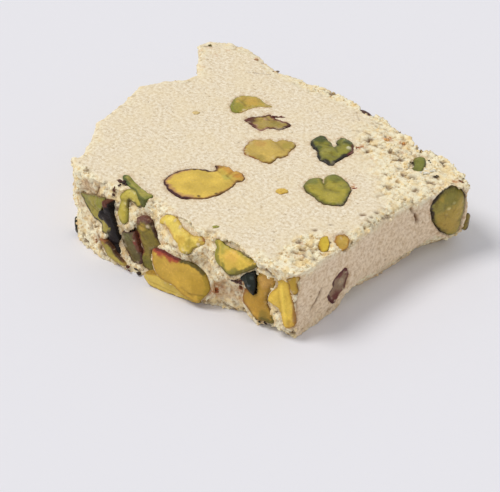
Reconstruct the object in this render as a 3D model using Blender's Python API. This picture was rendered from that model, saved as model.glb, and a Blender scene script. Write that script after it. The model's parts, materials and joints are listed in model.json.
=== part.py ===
"""A broken slab of pistachio halva, about 86 x 69 x 18 mm, lying on its base.

The slab is one solid of pressed sesame paste. Its top, its base and the side at +X were cut with a knife.
The other sides are broken, so they are craggy, and kernels stand out of them. Each kernel is a solid of
its own, in a socket that leaves a small gap all round it. Sizes below are in millimetres.
"""

import math

import bmesh
import bpy
from mathutils import Matrix, Vector, noise

MM = 0.001

# --- driving dimensions, mm ---------------------------------------------------------------------
THICKNESS = 18.0
SEED = 11                 # fixes the noise that shapes the bumps of the kernels
COLUMN_PITCH = 1.9        # spacing of the slab's mesh columns round its outline
LONG_KERNEL = 12.5        # a longer kernel has 12 sides, and a shorter one 10
SOCKET_GAP = 0.3          # clear space between a kernel and the halva round it
SOCKET_LIFT = 4.0         # how far a socket's cutter runs out past a kernel's shown face
CENTRE = Vector((0.0, 1.0))   # the point that the rings of the top and the base shrink towards

LEVELS = (0.0, 0.8, 2.4, 4.4, 6.6, 9.0, 11.4, 13.8, 16.0, 17.5)   # rings up the sides
TOP_RINGS = (0.5, 1.8, 4.0, 7.5, 12.5)          # rings on the top, by their distance from the rim
BASE_RING = 1.0                                 # the flat base starts this far inside the lowest ring

CRAG_SIZE = 7.0           # width of the large crags on a broken side
CLUMP_SIZE = 3.2          # width of the clumps on them
RIM_GRAIN = 2.2           # width of the lumps along a worn rim

# --- the outline --------------------------------------------------------------------------------
# One station for each turn of the outline, counter-clockwise seen from above, from the near corner.
# (top x, y), (base x, y), foot, crag, wear width, wear depth:
#   foot   height over which the side runs from the base's outline out to the top's
#   crag   how deep the relief of the side is
#   wear   how far in from the rim the top is crumbled away, and how deep
STATIONS = [
    ((40.9, -22.4), (40.3, -21.6), 18, 0.5, 6.0, 1.3),     # near corner, between the front and the cut side
    ((40.5, -13.0), (39.5, -12.0), 5, 0.2, 5.5, 1.1),
    ((40.2, -7.5), (38.6, -7.5), 5, 0.15, 3.0, 0.6),       # the cut side, hollow at its foot
    ((39.7, -1.0), (35.6, -1.0), 6, 0.15, 2.0, 0.5),
    ((39.2, 6.0), (36.8, 6.0), 5, 0.15, 2.0, 0.5),
    ((39.2, 13.0), (36.2, 13.0), 5, 0.15, 4.0, 0.5),
    ((40.0, 19.5), (35.2, 19.5), 6, 0.2, 7.0, 0.7),
    ((42.9, 27.8), (37.6, 28.4), 6, 0.3, 12.0, 1.2),       # right corner
    ((38.6, 30.8), (36.5, 31.2), 8, 0.8, 14.0, 1.6),
    ((31.0, 31.9), (31.4, 32.8), 9, 1.1, 13.0, 1.6),       # the broken back
    ((25.0, 31.5), (25.0, 32.0), 9, 1.1, 12.0, 1.5),
    ((17.5, 33.3), (17.0, 32.2), 9, 1.1, 8.0, 1.2),
    ((7.5, 33.8), (7.0, 33.6), 9, 1.1, 5.5, 1.0),
    ((-5.5, 33.2), (-5.0, 32.2), 9, 1.2, 5.0, 0.9),
    ((-19.8, 30.5), (-20.0, 32.0), 9, 1.2, 4.5, 0.8),
    ((-31.5, 31.8), (-31.0, 30.6), 9, 1.0, 4.5, 0.9),
    ((-38.6, 30.8), (-37.5, 29.5), 9, 0.8, 5.0, 1.0),
    ((-42.4, 27.6), (-40.6, 26.8), 9, 0.4, 4.5, 0.8),
    ((-42.8, 24.4), (-41.0, 24.0), 9, 0.4, 4.0, 0.8),      # far corner, a tongue beside the notch
    ((-32.3, 15.2), (-33.0, 15.8), 9, 0.5, 2.5, 0.5),      # the notch
    ((-32.4, 11.0), (-32.0, 11.5), 9, 0.6, 2.0, 0.5),
    ((-35.6, 7.2), (-34.8, 7.4), 9, 0.8, 2.0, 0.5),
    ((-37.4, 1.4), (-36.4, 2.0), 9, 0.8, 2.0, 0.5),        # the broken left side
    ((-32.8, -10.8), (-33.6, -11.0), 9, 1.0, 2.0, 0.5),
    ((-31.4, -16.0), (-31.0, -17.0), 9, 1.0, 2.0, 0.5),
    ((-22.9, -27.2), (-23.4, -28.0), 9, 0.6, 2.0, 0.6),
    ((-24.2, -29.8), (-18.6, -32.6), 14, 0.5, 2.0, 0.6),   # left corner
    ((-20.4, -32.0), (-14.8, -33.7), 14, 0.6, 2.0, 0.6),
    ((-12.5, -30.9), (-9.6, -34.0), 16, 0.8, 3.0, 0.9),    # the broken front
    ((1.5, -27.6), (1.6, -30.2), 18, 1.0, 2.5, 0.9),
    ((8.0, -28.0), (8.4, -29.8), 18, 1.0, 2.0, 0.7),
    ((14.5, -27.6), (15.6, -28.8), 18, 1.0, 2.0, 0.7),
    ((22.0, -26.4), (22.4, -25.6), 18, 1.0, 2.0, 0.7),
    ((33.5, -25.0), (33.4, -22.0), 18, 0.8, 3.0, 0.8),
]

# --- the kernels --------------------------------------------------------------------------------
# Each kernel: name, centre of its shown face, length, width, depth behind that face,
# facing (azimuth and elevation of the face's normal, degrees), turn of its length in that face
# (0 is level, or +X on the top and the base), form, finish. A cut form is flat at its face, a whole
# one is domed there. Taper narrows the +length end, a notch parts the two halves, and ragged is the
# depth of the bumps on a torn kernel.
UP = (0, 90)
DOWN = (0, -90)
SIDE = (0, 0)
PLAIN = {"cut": True, "taper": 0.15, "notch": 0.0, "ragged": 0.15}
WHOLE = {**PLAIN, "cut": False}
TORN = {**PLAIN, "ragged": 0.5}
SPLIT = {**PLAIN, "taper": 0.0, "notch": 0.34, "ragged": 0.25}
POINTED = {**PLAIN, "taper": 0.55}
CREASED = {**SPLIT, "notch": 0.25}
WIDENING = {**TORN, "taper": -0.2}

KERNELS = [
    # in the top, cut with it
    ("kernel_top_slice", (3.4, -14.1, 18.0), 17.6, 10.8, 4.8, UP, 54, PLAIN, "yellow"),
    ("kernel_top_wedge", (-14.0, 15.0, 18.0), 10.2, 5.6, 3.5, UP, 44, POINTED, "green"),
    ("kernel_top_skin", (-5.2, 12.3, 17.9), 10.8, 5.4, 3.2, UP, 40, TORN, "skin"),
    ("kernel_top_tan", (3.9, 4.4, 18.0), 11.8, 8.0, 4.0, UP, 58, TORN, "yellow"),
    ("kernel_top_torn", (13.0, 14.9, 18.05), 10.6, 9.4, 4.5, UP, 35, {**SPLIT, "ragged": 0.5}, "green"),
    ("kernel_top_heart", (24.2, 3.6, 18.05), 12.0, 11.2, 4.5, UP, 44, SPLIT, "green"),
    ("kernel_top_small", (30.1, 25.4, 17.0), 5.0, 4.2, 4.0, UP, 100, TORN, "green"),
    ("kernel_top_strip", (-4.6, -26.4, 18.1), 11.2, 3.2, 3.5, UP, -6, PLAIN, "green"),
    # in the cut side
    ("kernel_cut_large", (41.4, 24.0, 11.4), 13.4, 8.4, 4.6, (-18, 0), 92, WHOLE, "green"),
    ("kernel_cut_corner", (42.2, 29.0, 6.8), 4.8, 3.0, 2.8, (20, 0), 78, WHOLE, "green"),
    ("kernel_cut_skin", (39.9, -8.8, 7.3), 8.0, 3.4, 3.0, SIDE, 46, TORN, "skin"),
    ("kernel_rim_small", (36.9, -10.9, 17.6), 3.8, 2.6, 2.8, (-10, 70), 80, PLAIN, "yellow"),
    ("kernel_rim_tan", (38.8, -6.6, 17.3), 4.6, 3.8, 3.0, (-5, 50), 10, PLAIN, "yellow"),
    # in the broken front, from the left corner to the near one
    ("kernel_front_leaf", (-13.4, -32.6, 9.4), 12.6, 5.0, 3.6, (-95, 8), -32, POINTED, "green"),
    ("kernel_front_dark", (-8.6, -31.6, 6.8), 12.6, 3.0, 3.0, (-88, 0), -51, WHOLE, "skin"),
    ("kernel_front_pale", (-4.2, -30.6, 14.3), 8.4, 4.8, 3.4, (-80, 30), -62, CREASED, "green"),
    ("kernel_front_olive", (1.4, -30.0, 7.2), 12.8, 5.2, 4.0, (-75, 5), -58, WHOLE, "olive"),
    ("kernel_front_dull", (-4.2, -32.0, 4.6), 7.4, 3.4, 3.0, (-85, 0), -66, WHOLE, "olive"),
    ("kernel_front_large", (14.0, -30.7, 6.5), 15.6, 9.0, 5.2, (-72, 14), -16, PLAIN, "yellow"),
    ("kernel_front_under", (11.4, -31.2, 0.95), 12.6, 1.3, 3.6, (-74, 0), 0, WHOLE, "yellow"),
    ("kernel_front_rim", (11.4, -28.8, 15.0), 12.0, 6.2, 4.0, (-75, 34), -12, WIDENING, "yellow"),
    ("kernel_front_half", (26.2, -26.0, 14.5), 11.4, 7.0, 4.4, (-72, 34), 0, POINTED, "yellow"),
    ("kernel_front_teal", (29.1, -25.2, 9.4), 5.2, 2.8, 2.8, (-70, 0), -64, WHOLE, "skin"),
    ("kernel_front_amber", (31.9, -24.4, 7.0), 12.6, 7.2, 4.4, (-72, 6), 84, PLAIN, "yellow"),
    ("kernel_front_long", (37.1, -23.7, 8.2), 12.8, 5.4, 4.2, (-66, 10), -72, PLAIN, "yellow"),
    ("kernel_front_corner", (39.9, -22.3, 13.4), 4.6, 2.4, 2.8, (-50, 10), 80, PLAIN, "yellow"),
    ("kernel_front_sliver", (-6.2, -33.6, 2.7), 6.8, 2.4, 2.6, (-84, 0), -28, WHOLE, "olive"),
    ("kernel_left_dark", (-20.0, -32.4, 4.2), 4.8, 2.2, 2.6, (-150, 0), 80, WHOLE, "green"),
    # in the broken left side
    ("kernel_left_low", (-26.4, -23.0, 10.4), 13.0, 6.4, 4.0, (207, 6), 20, PLAIN, "yellow"),
    ("kernel_left_olive", (-31.8, -12.6, 6.0), 12.0, 6.4, 4.2, (205, 0), -48, WHOLE, "olive"),
    ("kernel_left_tall", (-35.6, -3.2, 9.6), 13.4, 6.6, 4.2, (207, 4), 76, PLAIN, "green"),
    ("kernel_left_small", (-35.2, 6.6, 5.2), 8.6, 5.2, 3.6, (162, 0), 12, TORN, "yellow"),
    ("kernel_left_tongue", (-37.8, 19.8, 9.4), 11.6, 6.2, 3.6, (228, 0), 60, POINTED, "green"),
    # in the broken back
    ("kernel_back_rim", (6.4, 33.0, 16.2), 5.4, 2.8, 3.0, (88, 20), 0, WHOLE, "skin"),
    ("kernel_back_tongue", (-40.3, 29.0, 15.4), 4.6, 2.4, 2.6, (140, 20), 10, WHOLE, "skin"),
    ("kernel_back_far", (-28.4, 31.3, 8.2), 13.6, 6.6, 4.4, (94, 0), 30, PLAIN, "yellow"),
    ("kernel_back_olive", (-13.6, 31.8, 11.0), 12.2, 6.2, 4.2, (96, 6), -22, WHOLE, "olive"),
    ("kernel_back_tall", (0.2, 32.9, 7.6), 12.6, 6.4, 4.2, (92, 0), 66, PLAIN, "green"),
    ("kernel_back_large", (13.8, 33.2, 9.4), 14.6, 7.4, 4.6, (86, 4), 6, PLAIN, "yellow"),
    ("kernel_back_near", (26.2, 31.9, 6.4), 10.6, 5.8, 4.0, (80, 0), -38, WHOLE, "green"),
    ("kernel_back_corner", (34.8, 31.1, 11.4), 8.4, 4.8, 3.6, (66, 8), 40, TORN, "yellow"),
    # in the base, set back so that the slab rests on the halva alone
    ("kernel_base_long", (-16.0, 6.0, 0.35), 15.6, 8.6, 4.0, DOWN, 25, PLAIN, "yellow"),
    ("kernel_base_split", (16.0, -8.0, 0.35), 12.4, 9.0, 4.0, DOWN, -40, SPLIT, "green"),
    ("kernel_base_small", (8.0, 19.0, 0.35), 9.4, 6.2, 3.5, DOWN, 70, TORN, "yellow"),
]

# finish: (colour, roughness) for a Principled BSDF
FINISHES = {
    "halva": ((0.78, 0.68, 0.49, 1.0), 0.85),
    "yellow": ((0.62, 0.45, 0.10, 1.0), 0.45),
    "green": ((0.27, 0.33, 0.07, 1.0), 0.40),
    "olive": ((0.25, 0.24, 0.08, 1.0), 0.45),
    "skin": ((0.10, 0.035, 0.035, 1.0), 0.40),
}


# --- small helpers ------------------------------------------------------------------------------
def clear_scene():
    for obj in list(bpy.data.objects):
        bpy.data.objects.remove(obj, do_unlink=True)


def make_materials():
    made = {}
    for name, (colour, roughness) in FINISHES.items():
        material = bpy.data.materials.new(name)
        material.use_nodes = True
        shader = material.node_tree.nodes["Principled BSDF"]
        shader.inputs["Base Color"].default_value = colour
        shader.inputs["Roughness"].default_value = roughness
        material.diffuse_color = colour
        made[name] = material
    return made


def new_object(name, bm, material=None, collection=None):
    mesh = bpy.data.meshes.new(name)
    bm.to_mesh(mesh)
    bm.free()
    obj = bpy.data.objects.new(name, mesh)
    if material:
        mesh.materials.append(material)
    (collection or bpy.context.scene.collection).objects.link(obj)
    return obj


def smooth_step(t):
    t = max(0.0, min(1.0, t))
    return t * t * (3 - 2 * t)


def lump(point, size, shift=0.0):
    """Smooth noise from about -1 to 1 that varies over size."""
    return noise.noise(Vector((point.x / size + shift, point.y / size, point.z / size))) * 1.6


def clump(point, size):
    """Rounded clumps about size wide, with creases between them: 1 on a clump, below 0 in a crease."""
    distances, _ = noise.voronoi(point / size)
    return 1.0 - 2.0 * distances[0]


# --- the slab -----------------------------------------------------------------------------------
def columns_round_outline():
    """The outline's stations, filled in to an even pitch. Each column is a list like a station's."""
    columns = []
    for here, after in zip(STATIONS, STATIONS[1:] + STATIONS[:1]):
        top_a, top_b = Vector(here[0]), Vector(after[0])
        base_a, base_b = Vector(here[1]), Vector(after[1])
        steps = max(1, round((top_b - top_a).length / COLUMN_PITCH))
        for step in range(steps):
            t = step / steps
            sizes = [a + (b - a) * t for a, b in zip(here[2:], after[2:])]
            columns.append([top_a.lerp(top_b, t), base_a.lerp(base_b, t), *sizes])
    return columns


def outward(columns, index):
    """The outline's outward direction at a column, in the plane of the top."""
    before, after = columns[index - 1][0], columns[(index + 1) % len(columns)][0]
    along = (after - before).normalized()
    return Vector((along.y, -along.x, 0.0))


def side_point(column, out, height):
    """A point of the slab's side: between the two outlines, moved by the relief of a broken face."""
    top, base, foot, crag = column[:4]
    place = base.lerp(top, smooth_step(height / foot))
    point = Vector((place.x, place.y, height))
    relief = 0.55 * lump(point, CRAG_SIZE) + 0.45 * clump(point, CLUMP_SIZE)
    return point + out * (crag * relief)


def top_point(column, rim, inset):
    """A point of the top, inset from the rim: lower and lumpy where the rim has crumbled."""
    width, depth = column[4:]
    flat = Vector((rim.x, rim.y))
    place = flat + (CENTRE - flat).normalized() * inset
    worn = max(0.0, 1.0 - inset / width)
    point = Vector((place.x, place.y, THICKNESS))
    lumps = 0.5 + 0.5 * clump(point, RIM_GRAIN) + 0.4 * lump(point, CRAG_SIZE, 5.0)
    point.z -= depth * worn ** 1.3 * (0.55 + 0.45 * lumps)
    return point


def base_point(rim):
    """A point of the flat base, a little inside its rim."""
    flat = Vector((rim.x, rim.y))
    place = flat + (CENTRE - flat).normalized() * BASE_RING
    return Vector((place.x, place.y, 0.0))


def bridge(bm, lower, upper):
    count = len(lower)
    for i in range(count):
        j = (i + 1) % count
        bm.faces.new((lower[i], lower[j], upper[j], upper[i]))


def make_slab(material):
    columns = columns_round_outline()
    outs = [outward(columns, i) for i in range(len(columns))]
    bm = bmesh.new()
    rings = []
    for height in LEVELS:
        rings.append([side_point(c, out, height) for c, out in zip(columns, outs)])
    base_rim = rings[0]
    rims = rings[-1]
    for inset in TOP_RINGS:
        rings.append([top_point(c, rim, inset) for c, rim in zip(columns, rims)])
    rings.insert(0, [base_point(rim) for rim in base_rim])
    loops = [[bm.verts.new(point * MM) for point in ring] for ring in rings]
    for lower, upper in zip(loops, loops[1:]):
        bridge(bm, lower, upper)
    bm.faces.new(loops[-1])
    bm.faces.new(list(reversed(loops[0])))
    bmesh.ops.recalc_face_normals(bm, faces=bm.faces)
    return new_object("halva_slab", bm, material)


# --- the kernels --------------------------------------------------------------------------------
def facing_axes(facing, turn):
    """The kernel's axes as a rotation: its length, its width and the normal of its shown face."""
    azimuth, elevation = (math.radians(a) for a in facing)
    level = math.cos(elevation)
    normal = Vector((math.cos(azimuth) * level, math.sin(azimuth) * level, math.sin(elevation)))
    upright = abs(normal.z) > 0.999
    across = Vector((1, 0, 0)) if upright else Vector((0, 0, 1)).cross(normal).normalized()
    length = Matrix.Rotation(math.radians(turn), 3, normal) @ across
    width = normal.cross(length)
    return Matrix((length, width, normal)).transposed()


def kernel_point(unit, length, width, depth, form, seed):
    """A point of the unit sphere, moved to the kernel's own shape, with its shown face at z = 0."""
    x, y, z = unit
    point = Vector((x * length / 2, y * width / 2 * (1 - form["taper"] * x), z * depth))
    if not form["cut"] and z > 0:
        point.z = z * min(depth, width) * 0.22
    if form["notch"]:
        # The two halves of the seed part at one side of the kernel.
        part = math.exp(-((math.atan2(y, x) - math.radians(75)) / 0.35) ** 2) * math.hypot(x, y)
        point.x *= 1 - form["notch"] * part
        point.y *= 1 - form["notch"] * part
    bumps = form["ragged"] * noise.noise_vector(point / 1.9 + Vector((seed * 7.3, 0, 0)))
    return point + bumps


def kernel_mesh(spec, seed, grow=0.0, lift=0.0):
    """A kernel's mesh in place. Grown by the gap and lifted past its face, it is its socket's cutter."""
    _, centre, length, width, depth, facing, turn, form, _ = spec
    bm = bmesh.new()
    bmesh.ops.create_uvsphere(bm, u_segments=12 if length > LONG_KERNEL else 10, v_segments=6, radius=1.0)
    for vert in bm.verts:
        unit = vert.co.copy()
        vert.co = kernel_point(unit, length, width, depth, form, seed)
        ellipsoid = Vector((unit.x / length, unit.y / width, unit.z / (2 * depth))).normalized()
        vert.co += ellipsoid * grow
        if lift and not form["cut"] and unit.z > 0.1:
            vert.co.z += lift
    if form["cut"]:
        bmesh.ops.bisect_plane(bm, geom=bm.verts[:] + bm.edges[:] + bm.faces[:], dist=1e-5,
                               plane_co=(0, 0, 0), plane_no=(0, 0, 1), clear_outer=True)
        rim = [edge for edge in bm.edges if edge.is_boundary]
        cap = bmesh.ops.contextual_create(bm, geom=rim)["faces"]
        if lift:
            raised = bmesh.ops.extrude_face_region(bm, geom=cap)
            moved = [item for item in raised["geom"] if isinstance(item, bmesh.types.BMVert)]
            bmesh.ops.translate(bm, verts=moved, vec=(0, 0, lift))
            bmesh.ops.delete(bm, geom=cap, context="FACES_ONLY")
    bmesh.ops.recalc_face_normals(bm, faces=bm.faces)
    place = Matrix.Translation(Vector(centre) * MM) @ facing_axes(facing, turn).to_4x4() @ Matrix.Scale(MM, 4)
    bmesh.ops.transform(bm, matrix=place, verts=bm.verts)
    return bm


def box_of(obj):
    corners = [vert.co for vert in obj.data.vertices]
    return [(min(c[i] for c in corners), max(c[i] for c in corners)) for i in range(3)]


def boxes_meet(first, second):
    return all(a[0] < b[1] and b[0] < a[1] for a, b in zip(box_of(first), box_of(second)))


def cut_by(obj, **operand):
    cut = obj.modifiers.new("Cut", "BOOLEAN")
    cut.operation = "DIFFERENCE"
    cut.solver = "EXACT"
    if "collection" in operand:
        cut.operand_type = "COLLECTION"
        cut.collection = operand["collection"]
    else:
        cut.object = operand["object"]


def make_kernels(materials, sockets):
    """The kernels, and a hidden cutter for each socket. A kernel is cut back from those before it."""
    made = []
    for seed, spec in enumerate(KERNELS):
        kernel = new_object(spec[0], kernel_mesh(spec, seed), materials[spec[-1]])
        for _, earlier_cutter in made:
            if boxes_meet(kernel, earlier_cutter):
                cut_by(kernel, object=earlier_cutter)
        socket = kernel_mesh(spec, seed, SOCKET_GAP, SOCKET_LIFT)
        cutter = new_object(spec[0] + "_socket", socket, None, sockets)
        cutter.hide_render = True
        cutter.display_type = "WIRE"
        made.append((kernel, cutter))
    for kernel, _ in made:
        for polygon in kernel.data.polygons:
            polygon.use_smooth = True
        kernel.data.set_sharp_from_angle(angle=math.radians(40))
    return [kernel for kernel, _ in made]


def island_of(start, unseen):
    """The faces joined to start across edges of two faces, taken out of unseen."""
    island = [start]
    unseen.discard(start)
    for face in island:
        for edge in face.edges:
            if len(edge.link_faces) != 2:
                continue
            for other in edge.link_faces:
                if other in unseen:
                    unseen.discard(other)
                    island.append(other)
    return island


def settle(obj):
    """Applies the cuts, and drops the loose scraps that they leave beside the largest body."""
    graph = bpy.context.evaluated_depsgraph_get()
    mesh = bpy.data.meshes.new_from_object(obj.evaluated_get(graph))
    obj.modifiers.clear()
    obj.data = mesh
    bm = bmesh.new()
    bm.from_mesh(mesh)
    unseen = set(bm.faces)
    islands = []
    for face in bm.faces:
        if face in unseen:
            islands.append(island_of(face, unseen))
    islands.sort(key=len, reverse=True)
    scraps = [face for island in islands[1:] for face in island]
    bmesh.ops.delete(bm, geom=scraps, context="FACES")
    bm.to_mesh(mesh)
    bm.free()


def main():
    clear_scene()
    noise.seed_set(SEED)
    materials = make_materials()
    sockets = bpy.data.collections.new("sockets")
    bpy.context.scene.collection.children.link(sockets)
    slab = make_slab(materials["halva"])
    kernels = make_kernels(materials, sockets)
    cut_by(slab, collection=sockets)
    for obj in [slab, *kernels]:
        settle(obj)


main()
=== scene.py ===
"""The looks of a broken slab of pistachio halva: pressed sesame paste with kernels set in it.

Sizes in the sections are in millimetres and colours are a colour card's values, 0 to 255. Every
finished mesh is in metres in the part's own frame.
"""

import json
import math
from itertools import product
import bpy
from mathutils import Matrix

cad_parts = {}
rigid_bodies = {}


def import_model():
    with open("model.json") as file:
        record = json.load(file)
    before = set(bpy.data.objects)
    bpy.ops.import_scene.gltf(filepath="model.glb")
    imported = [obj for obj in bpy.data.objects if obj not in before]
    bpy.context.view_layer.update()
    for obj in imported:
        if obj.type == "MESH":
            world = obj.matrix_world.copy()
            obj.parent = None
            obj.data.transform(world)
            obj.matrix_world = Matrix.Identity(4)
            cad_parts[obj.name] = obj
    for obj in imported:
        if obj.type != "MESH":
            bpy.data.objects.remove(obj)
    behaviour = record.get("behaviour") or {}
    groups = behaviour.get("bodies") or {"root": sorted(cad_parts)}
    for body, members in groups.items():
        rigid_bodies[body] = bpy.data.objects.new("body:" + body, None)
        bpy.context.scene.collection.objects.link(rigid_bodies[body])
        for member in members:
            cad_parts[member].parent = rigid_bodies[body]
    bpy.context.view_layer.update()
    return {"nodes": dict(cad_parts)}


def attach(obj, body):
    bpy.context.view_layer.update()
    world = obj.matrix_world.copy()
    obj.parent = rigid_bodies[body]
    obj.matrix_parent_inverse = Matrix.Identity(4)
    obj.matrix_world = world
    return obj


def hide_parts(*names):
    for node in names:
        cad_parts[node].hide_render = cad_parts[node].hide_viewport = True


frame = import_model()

from types import SimpleNamespace

import bmesh
import bpy
import numpy as np
from mathutils import Vector
from mathutils.bvhtree import BVHTree
from mathutils.kdtree import KDTree


# ================================================================================================
# The kernels in the top. Peeled and half-peeled pistachios, cut level with the slab by the knife:
# a waxy yellow or green cut face inside a thin purple-brown skin, flush with the paste.
# ================================================================================================

MM = 0.001
KERNEL_VOXEL = 0.2
OUTLINE_PIECES = 6        # a kernel's outline has this many short pieces from one corner to the next
CROWN_REACH = 1.1         # how far in from the edge a cut face is domed
CHIP = 2.4                # the size of the facets that a kernel's flesh breaks into


def set_out(name, data):
    """A new object in the scene."""
    thing = bpy.data.objects.new(name, data)
    bpy.context.scene.collection.objects.link(thing)
    return thing


def mesh_from(shape, name):
    """The edited shape as a mesh of that name."""
    mesh = bpy.data.meshes.new(name)
    shape.to_mesh(mesh)
    shape.free()
    return mesh


def worked_mesh(mesh, *steps):
    """The mesh after the given modifiers, each a type and its settings."""
    block = set_out("block", mesh)
    for kind, settings in steps:
        step = block.modifiers.new(kind.title(), kind)
        for name, value in settings.items():
            setattr(step, name, value)
    graph = bpy.context.evaluated_depsgraph_get()
    worked = bpy.data.meshes.new_from_object(block.evaluated_get(graph))
    bpy.data.objects.remove(block, do_unlink=True)
    return worked


def vectors_of(rows, name):
    """One vector of each of a mesh's rows, as an array."""
    flat = np.empty(len(rows) * 3, np.float32)
    rows.foreach_get(name, flat)
    return flat.reshape(-1, 3).astype(float)


def places(mesh):
    return vectors_of(mesh.vertices, "co")


def outward_ways(mesh):
    return vectors_of(mesh.vertex_normals, "vector")


def move_to(mesh, points):
    mesh.vertices.foreach_set("co", points.astype(np.float32).ravel())
    mesh.update()


def keep_value(mesh, name, values):
    layer = mesh.attributes.new(name, "FLOAT", "POINT")
    layer.data.foreach_set("value", values.astype(np.float32))


def keep_tone(mesh, tone):
    layer = mesh.attributes.new("tone", "FLOAT_COLOR", "POINT")
    layer.data.foreach_set("color", np.column_stack([tone, np.ones(len(tone))]).astype(np.float32).ravel())


def step_up(values, low, high):
    """0 below low and 1 above high, with an easy slope between them."""
    share = np.clip((values - low) / (high - low), 0, 1)
    return share * share * (3 - 2 * share)


def scrambled(ix, iy, iz, seed):
    """A number from 0 to 1 for each cell of a lattice."""
    mixed = (ix * 73856093) ^ (iy * 19349663) ^ (iz * 83492791) ^ (seed * 2654435761)
    mixed = (mixed ^ (mixed >> 13)) * 1274126177
    mixed = (mixed ^ (mixed >> 16)) & 0xFFFFFF
    return mixed / 0xFFFFFF


def cells_of(points, size):
    """Each point in cell sizes, and the whole numbers of its cell."""
    scaled = points / size + 500.0
    return scaled, np.floor(scaled).astype(np.int64)


def swell(points, size, seed=0):
    """Smooth unevenness from -1 to 1 that varies over size."""
    scaled, cell = cells_of(points, size)
    inside = scaled - cell
    ease = inside * inside * (3 - 2 * inside)
    total = np.zeros(len(points))
    for step in product((0, 1), repeat=3):
        near = np.abs(1 - np.array(step) - ease)
        total += scrambled(*(cell + step).T, seed) * (near[:, 0] * near[:, 1] * near[:, 2])
    return total * 2 - 1


def swells(points, seed, *waves):
    """Unevenness of several waves, each a height and a size, with seeds that follow on."""
    return sum(height * swell(points, size, seed + i) for i, (height, size) in enumerate(waves))


def crumbled(points, size, seed=0):
    """Distance to the middle of the nearest crumb, in crumb sizes, and that crumb's own number."""
    scaled, cell = cells_of(points, size)
    nearest = np.full(len(points), 9.0)
    own = np.zeros(len(points))
    for step in product((-1, 0, 1), repeat=3):
        at = (cell + step).T
        middle = np.stack([at[i] + scrambled(*at, seed + 1 + i) for i in range(3)], axis=1)
        distance = np.linalg.norm(scaled - middle, axis=1)
        closer = distance < nearest
        nearest = np.where(closer, distance, nearest)
        own = np.where(closer, scrambled(*at, seed + 7), own)
    return nearest, own


def beside_run(points, start, end):
    """Each point's place beside the straight run from start to end."""
    run = end - start
    share = np.clip((points - start) @ run / (run @ run), 0, 1)
    return points - start - share[:, None] * run


def tint(red, green, blue):
    """A colour card's values, 0 to 255, as the amount of light that the surface gives back."""
    linear = [c / 255 / 12.92 if c <= 10 else ((c / 255 + 0.055) / 1.055) ** 2.4 for c in (red, green, blue)]
    return (*linear, 1.0)


def feed(tree, socket, value):
    if isinstance(value, bpy.types.NodeSocket):
        tree.links.new(value, socket)
    else:
        socket.default_value = value


def new_node(tree, kind, settings=None, sockets=None, **named):
    """A node with its settings, and its sockets joined or given a value."""
    node = tree.nodes.new(kind)
    for name, value in (settings or {}).items():
        setattr(node, name, value)
    for name, value in named.items():
        feed(tree, node.inputs[name.replace("_", " ")], value)
    for name, value in (sockets or {}).items():
        feed(tree, node.inputs[name], value)
    return node


class Recipe:
    """A material's nodes, added and joined one line at a time."""

    def __init__(self, name):
        self.material = bpy.data.materials.new(name)
        self.material.use_nodes = True
        self.tree = self.material.node_tree
        self.shader = self.tree.nodes["Principled BSDF"]
        self.where = self.add("ShaderNodeTexCoord").outputs["Object"]

    def add(self, kind, settings=None, sockets=None, **named):
        return new_node(self.tree, kind, settings, sockets, **named)

    def surface(self, **named):
        """Sets or joins the shader's own sockets."""
        for name, value in named.items():
            feed(self.tree, self.shader.inputs[name.replace("_", " ")], value)

    def stretched(self, scale):
        return self.add("ShaderNodeMapping", Vector=self.where, Scale=scale).outputs["Vector"]

    def cloud(self, size, detail=2.0, rough=0.5, where=None):
        return self.add("ShaderNodeTexNoise", Vector=where or self.where, Scale=1 / (size * MM),
                        Detail=detail, Roughness=rough).outputs["Fac"]

    def kept(self, name, output="Fac"):
        return self.add("ShaderNodeAttribute", {"attribute_name": name}).outputs[output]

    def span(self, value, low, high, start=0.0, end=1.0):
        return self.add("ShaderNodeMapRange", {"interpolation_type": "SMOOTHSTEP"}, Value=value, From_Min=low,
                        From_Max=high, To_Min=start, To_Max=end).outputs["Result"]

    def maths(self, operation, first, second):
        return self.add("ShaderNodeMath", {"operation": operation}, {0: first, 1: second}).outputs["Value"]

    def blend(self, first, second, share, kind="MIX"):
        return self.add("ShaderNodeMix", {"data_type": "RGBA", "blend_type": kind},
                        {0: share, 6: first, 7: second}).outputs[2]

    def wash(self, colour, over, share, strength):
        """The colour with another laid over a share of it."""
        return self.blend(colour, over, self.maths("MULTIPLY", share, strength))

    def raised(self, height, depth, strength, under=None):
        sockets = {"Normal": under} if under else {}
        return self.add("ShaderNodeBump", None, sockets, Height=height, Strength=strength,
                        Distance=depth * MM).outputs["Normal"]


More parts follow.
